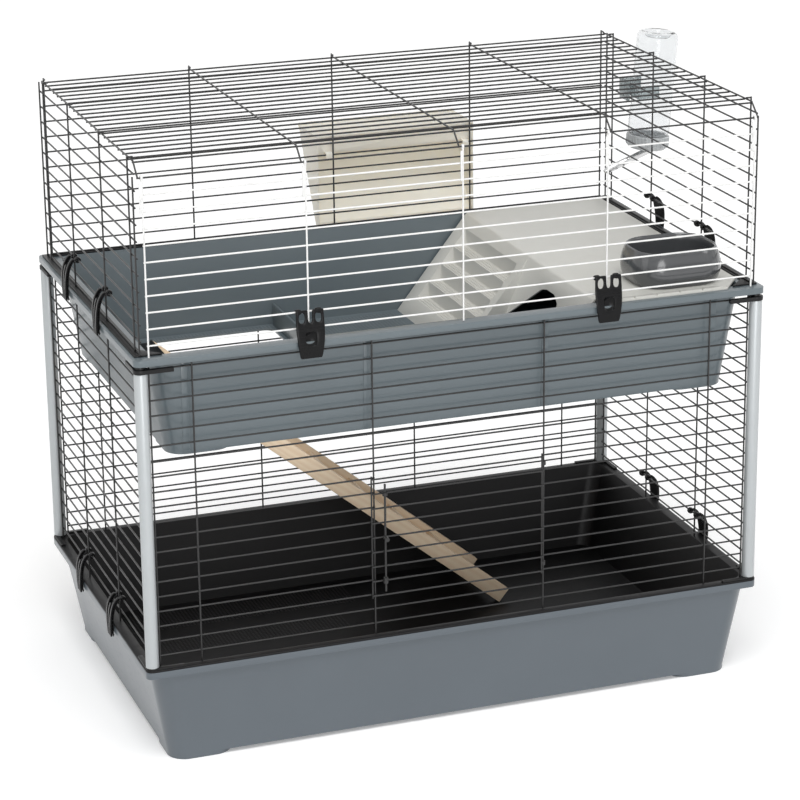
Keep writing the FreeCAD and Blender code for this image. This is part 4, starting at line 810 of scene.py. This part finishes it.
class CAGE_OT_latches(bpy.types.Operator):
    """Front latches of the upper door, with two windows, a slot for the wire and a thumb hole"""
    bl_idname = "cage.latches"
    bl_label = "Front latches"

    def execute(self, context):
        for side in ("left", "right"):
            self.latch("front_latch_" + side)
        return {"FINISHED"}

    def latch(self, node):
        s = sizes()
        low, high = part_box(node)
        hinge = Vector(HINGES[BODY_OF[node]]["pos_m"])
        half = (high.x - low.x) / 2
        top, drop = high.z - hinge.z, hinge.z - low.z - s.skirt_trim
        out = hinge.y - low.y
        columns = (-1.0, -0.80, -0.36, -0.15, 0.15, 0.36, 0.80, 1.0)
        rows = (0.0, 0.05, 0.28, 0.36, 0.47, 0.60, 0.73, 0.86, 0.96, 1.0)
        width = ((0.0, 0.96), (0.3, 1.0), (0.5, 0.99), (0.75, 0.90), (0.95, 0.80), (1.0, 0.72))
        bend = ((0.0, 5.6 * MM), (0.28, 7.0 * MM), (0.47, out - 4.3 * MM), (0.60, out - 2.5 * MM),
                (0.80, out - 1.9 * MM), (1.0, out - 2.9 * MM))
        windows, slot = [(1, 1), (5, 1)], [(3, 0), (3, 1)]
        thumb = [(column, row) for row in (4, 5) for column in (2, 3, 4)]

        def bent(c, r):
            return Vector((c * half * along(width, r), -along(bend, r), top - (top + drop) * r))

        bm = bmesh.new()
        plate(bm, columns, rows, windows + slot + thumb, bent, s.clip_thick)
        for side in (-1, 1):
            eye(bm, "X", 4.1 * MM, half * 0.44, (side * half * 0.70, 0, 0))
        for side in (-1, 1):
            block(bm, (side * half * 0.92, -5.4 * MM, -top * 0.9), (side * half * 0.50, -3.2 * MM, top * 0.9))
        self.funnel(bm, half, (bent(columns[2], rows[4]) + bent(columns[5], rows[6])) / 2)
        bmesh.ops.recalc_face_normals(bm, faces=bm.faces)
        middle = Vector(((low.x + high.x) / 2, hinge.y, hinge.z))
        bmesh.ops.translate(bm, verts=bm.verts, vec=middle)
        settle(bm, node + "_moulding", "clip", BODY_OF[node], [node], levels=2)

    def funnel(self, bm, half, spot):
        """The sloping walls and the floor behind the thumb hole."""
        verts = bmesh.ops.create_cone(bm, cap_ends=True, cap_tris=False, segments=4, radius1=half * 0.80,
                                      radius2=half * 0.30, depth=4.2 * MM)["verts"]
        turn_about(bm, verts, math.pi / 4, "Z")
        turn_about(bm, verts, -math.pi / 2, "X")
        bmesh.ops.translate(bm, verts=verts, vec=spot + Vector((0, 2.6 * MM, 0)))
        mouth = [f for f in {f for v in verts for f in v.link_faces} if f.normal.y < -0.9]
        bmesh.ops.delete(bm, geom=mouth, context="FACES_ONLY")


class CAGE_OT_shelter(bpy.types.Operator):
    """Shelter with its platform, stepped ramp, arched doorway and notched front edge"""
    bl_idname = "cage.shelter"
    bl_label = "Shelter"

    def execute(self, context):
        s = sizes()
        low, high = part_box("shelter")
        wall, ramp_side, fit = 3 * MM, 5 * MM, 0.2 * MM
        crest_end, corner_end = low.x + 0.125, low.x + 0.13
        bm = merged("shelter")
        for level, bend in ((high.z, s.shelter_bend), (high.z - wall, s.shelter_bend * 0.8)):
            crest = [e for e in bm.edges if e.calc_length() > 0.1 and self.keeps(e, "x")
                     and all(abs(v.co.z - level) < 0.1 * MM and v.co.x < crest_end for v in e.verts)]
            round_edges(bm, crest, bend, 6)
        corner = [e for e in self.uprights(bm)
                  if all(v.co.y > high.y - fit and v.co.x < corner_end for v in e.verts)]
        round_edges(bm, corner, s.shelter_corner, 5)
        risers = [e for e in self.uprights(bm)
                  if abs(e.verts[0].co.y - ramp_side) < fit and 20 * MM < e.calc_length() < 30 * MM]
        round_edges(bm, risers, s.riser_round, 1)
        round_edges(bm, sharp_edges(bm, CAD_SHARP), s.shelter_round)
        settle(bm, "shelter_shell", "shelter", "cage", ["shelter"])
        self.treads(low)
        self.teeth(low, high)
        return {"FINISHED"}

    def keeps(self, edge, axis):
        """Whether an edge keeps its place along an axis."""
        return abs(getattr(edge.verts[0].co, axis) - getattr(edge.verts[1].co, axis)) < 0.01 * MM

    def uprights(self, bm):
        return [e for e in bm.edges if self.keeps(e, "x") and self.keeps(e, "y")]

    def treads(self, low):
        """Fine grip lines along the four treads of the ramp."""
        bm = bmesh.new()
        for k in range(4):
            x, z = (place + (first + step * k) * MM
                    for place, first, step in zip((low.x, low.z), TREAD_FIRST, TREAD_STEP))
            for line in TREAD_LINES:
                block(bm, (x + line * MM, TREAD_ENDS[0], z - 0.3 * MM),
                      (x + (line + TREAD_WIDE) * MM, TREAD_ENDS[1], z + 0.8 * MM))
        round_edges(bm, sharp_edges(bm, BLOCK_SHARP), 0.35 * MM)
        settle(bm, "shelter_tread_lines", "shelter", "cage")

    def teeth(self, low, high):
        """Long low blocks with narrow gaps along the front edge of the platform."""
        bm = bmesh.new()
        for k in range(TEETH):
            x = TOOTH_FIRST + TOOTH_STEP * k
            block(bm, (x, low.y + 0.4 * MM, high.z - 0.4 * MM),
                  (x + TOOTH_LONG, low.y + 8 * MM, high.z + 1.8 * MM))
        round_edges(bm, sharp_edges(bm, BLOCK_SHARP), 0.7 * MM)
        settle(bm, "shelter_edge_teeth", "shelter", "cage")


class CAGE_OT_bowl(bpy.types.Operator):
    """Glossy food bowl: a rounded barrel with a wide mouth"""
    bl_idname = "cage.bowl"
    bl_label = "Food bowl"

    def execute(self, context):
        low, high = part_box("bowl")
        centre, half = (low + high) / 2, (high - low) / 2
        bm = bmesh.new()
        top = Vector((high.x, high.y, low.z + BOWL_RINGS[1][0] * MM))
        foot, ring = round_block(bm, low, top, sizes().bowl_corner, 10)
        face = flat_face(bm, ring)
        self.shrink(bm, foot, centre, half, 0.0, BOWL_RINGS[0][1])
        self.shrink(bm, ring, centre, half, 0.0, BOWL_RINGS[1][1])
        for (_, before), (level, inward) in zip(BOWL_RINGS[1:], BOWL_RINGS[2:]):
            out = bmesh.ops.extrude_face_region(bm, geom=[face])["geom"]
            bmesh.ops.delete(bm, geom=[face], context="FACES_ONLY")
            face = next(g for g in out if isinstance(g, bmesh.types.BMFace))
            ring = list(face.verts)
            bmesh.ops.translate(bm, verts=ring, vec=(0, 0, low.z + level * MM - ring[0].co.z))
            self.shrink(bm, ring, centre, half, before, inward)
        bmesh.ops.recalc_face_normals(bm, faces=bm.faces)
        settle(bm, "bowl_moulding", "bowl", BODY_OF["bowl"], ["bowl"], sharp=50)
        return {"FINISHED"}

    def shrink(self, bm, ring, centre, half, before, inward):
        """Scales a ring from one distance inside the belly to another."""
        ratio = [(h - inward * MM) / (h - before * MM) for h in half.xy]
        bmesh.ops.scale(bm, verts=ring, vec=(ratio[0], ratio[1], 1.0), space=Matrix.Translation(-centre))


class CAGE_OT_hay_rack(bpy.types.Operator):
    """Milky hay rack behind the back panel, and its lid"""
    bl_idname = "cage.hay_rack"
    bl_label = "Hay rack and lid"

    def execute(self, context):
        dress("hay_rack", "_bin", "rack", sizes().rack_round)
        dress("rack_lid", "_leaf", "rack", sizes().rack_round)
        return {"FINISHED"}


class CAGE_OT_bottle(bpy.types.Operator):
    """Clear water bottle, ribbed cap, steel spout and the holder on the panel"""
    bl_idname = "cage.bottle"
    bl_label = "Water bottle"

    def execute(self, context):
        body = BODY_OF["bottle"]
        bm = bmesh.new()
        turned(bm, BOTTLE_OUTSIDE + BOTTLE_INSIDE, 56)
        self.stand(bm, BOTTLE_LEAN, BOTTLE_FOOT)
        settle(bm, "bottle_shell", "bottle", body, ["bottle"], sharp=55)

        bm = bmesh.new()
        turned(bm, CAP, 72)
        bmesh.ops.inset_individual(bm, faces=[f for f in bm.faces if self.grooved(f)], thickness=0.5 * MM,
                                   depth=-0.7 * MM, use_even_offset=True)
        self.stand(bm, BOTTLE_LEAN, BOTTLE_FOOT)
        settle(bm, "bottle_cap_ribbed", "cap", body, ["bottle_cap"], sharp=40)

        bm = bmesh.new()
        turned(bm, SPOUT, 28)
        self.stand(bm, SPOUT_LEAN, BOTTLE_FOOT + SPOUT_DROP)
        settle(bm, "spout_tube", "steel", body, ["spout"], sharp=40)

        dress("bottle_holder", "_clamp", "holder", sizes().trim_round)
        return {"FINISHED"}

    def grooved(self, face):
        """Whether a face of the cap's outer wall is every second one, which is sunk."""
        middle = face.calc_center_median()
        if middle.xy.length <= 34.0 * MM or face.calc_area() <= 2e-5:
            return False
        return int(math.degrees(math.atan2(middle.y, middle.x)) // 5) % 2 == 1

    def stand(self, bm, lean, foot):
        turn_about(bm, bm.verts, lean, "Y")
        bmesh.ops.translate(bm, verts=bm.verts, vec=foot)


class CAGE_OT_ladder(bpy.types.Operator):
    """Wooden ladder with rails, board and cleats, and its hook plate"""
    bl_idname = "cage.ladder"
    bl_label = "Ladder"

    def execute(self, context):
        s = sizes()
        for node in NODES:
            if node.startswith("ladder_cleat"):
                dress(node, "_wood", "cleat", s.wood_round)
            elif node.startswith(("ladder_board", "ladder_rail")):
                dress(node, "_wood", "wood", s.wood_round)
        dress("ladder_hook", "_plate", "trim", s.trim_round)
        return {"FINISHED"}


class CAGE_OT_stage(bpy.types.Operator):
    """Pale floor, soft studio light and the camera at the photograph's angle"""
    bl_idname = "cage.stage"
    bl_label = "Studio"

    def execute(self, context):
        scene = context.scene
        scene.view_settings.view_transform = "Standard"
        self.floor(scene)
        self.world(scene)
        self.lamps(scene)
        self.camera(scene)
        return {"FINISHED"}

    def floor(self, scene):
        bm = bmesh.new()
        bmesh.ops.create_grid(bm, x_segments=4, y_segments=4, size=30.0)
        bmesh.ops.translate(bm, verts=bm.verts, vec=(0, 0, CAD_BOX[0].z - 0.5 * MM))
        mesh = bpy.data.meshes.new("studio_floor")
        bm.to_mesh(mesh)
        bm.free()
        material, tree, shader = new_finish("studio_paper")
        base = place_group(tree, moulded_grain, Color=opaque(colours().floor), Spread=0.02, Grain=60.0,
                           Patch=0.6, Gloss=0.9, Gloss_spread=0.02)
        glow = range_node(tree, self.seen(tree), 0.0, 1.0, 0.0, FLOOR_GLOW)
        feed_all(tree, shader, Base_Color=base["Color"], Roughness=base["Roughness"], Emission_Color=WHITE,
                 Emission_Strength=glow)
        mesh.materials.append(material)
        ground = bpy.data.objects.new("studio_floor", mesh)
        scene.collection.objects.link(ground)

    def world(self, scene):
        world = bpy.data.worlds.new("studio")
        world.use_nodes = True
        scene.world = world
        tree = world.node_tree
        back = next(n for n in tree.nodes if n.type == "BACKGROUND")
        strength = range_node(tree, self.seen(tree), 0.0, 1.0, WORLD_LIGHT, WORLD_SEEN)
        feed_all(tree, back, Color=WHITE, Strength=strength)

    def seen(self, tree):
        """One where a ray comes from the camera, a reflection or through a clear piece."""
        rays = add_node(tree, "LightPath").outputs
        total = math_node(tree, "ADD", rays["Is Camera Ray"], rays["Is Glossy Ray"])
        return math_node(tree, "ADD", total, rays["Is Transmission Ray"], clamp=True)

    def lamps(self, scene):
        sun = bpy.data.lights.new("soft_key", "SUN")
        sun.energy = SUN_POWER
        sun.angle = SUN_SPREAD
        self.lamp(scene, sun, SUN_PLACE)
        for name, place, size, power in BOXES:
            light = bpy.data.lights.new(name, "AREA")
            light.shape = "DISK"
            light.size = size
            light.energy = power
            self.lamp(scene, light, place)

    def lamp(self, scene, light, place):
        lamp = bpy.data.objects.new(light.name, light)
        lamp.location = place
        lamp.rotation_euler = (LAMP_AIM - Vector(place)).to_track_quat("-Z", "Y").to_euler()
        scene.collection.objects.link(lamp)

    def camera(self, scene):
        data = bpy.data.cameras.new("photo_camera")
        data.lens = EYE_LENS
        data.sensor_width = EYE_SENSOR
        data.clip_end = 200.0
        camera = bpy.data.objects.new("photo_camera", data)
        flat = math.cos(EYE_PITCH)
        aim = Vector((math.sin(EYE_HEADING) * flat, math.cos(EYE_HEADING) * flat, math.sin(EYE_PITCH)))
        turn = aim.to_track_quat("-Z", "Y") @ Quaternion((0, 0, 1), EYE_ROLL)
        camera.location = EYE_PLACE
        camera.rotation_euler = turn.to_euler()
        scene.collection.objects.link(camera)
        scene.camera = camera


PIECES = (CAGE_OT_tubs, CAGE_OT_wirework, CAGE_OT_posts, CAGE_OT_clips, CAGE_OT_latches, CAGE_OT_shelter,
          CAGE_OT_bowl, CAGE_OT_hay_rack, CAGE_OT_bottle, CAGE_OT_ladder, CAGE_OT_stage)


class CAGE_PT_panel(bpy.types.Panel):
    """Pieces, sizes and colours of the cage"""
    bl_idname = "CAGE_PT_panel"
    bl_label = "Rabbit cage"
    bl_space_type = "VIEW_3D"
    bl_region_type = "UI"
    bl_category = "Cage"

    def draw(self, context):
        column = self.layout.column()
        for piece in PIECES:
            column.operator(piece.bl_idname)
        for settings in (context.scene.cage_sizes, context.scene.cage_colours):
            box = self.layout.box()
            for name in settings.bl_rna.properties.keys():
                if name not in ("rna_type", "name"):
                    box.prop(settings, name)


CLASSES = (CageSizes, CageColours) + PIECES + (CAGE_PT_panel,)


def register():
    for item in CLASSES:
        bpy.utils.register_class(item)
    bpy.types.Scene.cage_sizes = bpy.props.PointerProperty(type=CageSizes)
    bpy.types.Scene.cage_colours = bpy.props.PointerProperty(type=CageColours)


def unregister():
    del bpy.types.Scene.cage_colours
    del bpy.types.Scene.cage_sizes
    for item in reversed(CLASSES):
        bpy.utils.unregister_class(item)


def main():
    register()
    for piece in PIECES:
        family, name = piece.bl_idname.split(".")
        getattr(getattr(bpy.ops, family), name)()


if __name__ == "__main__":
    main()
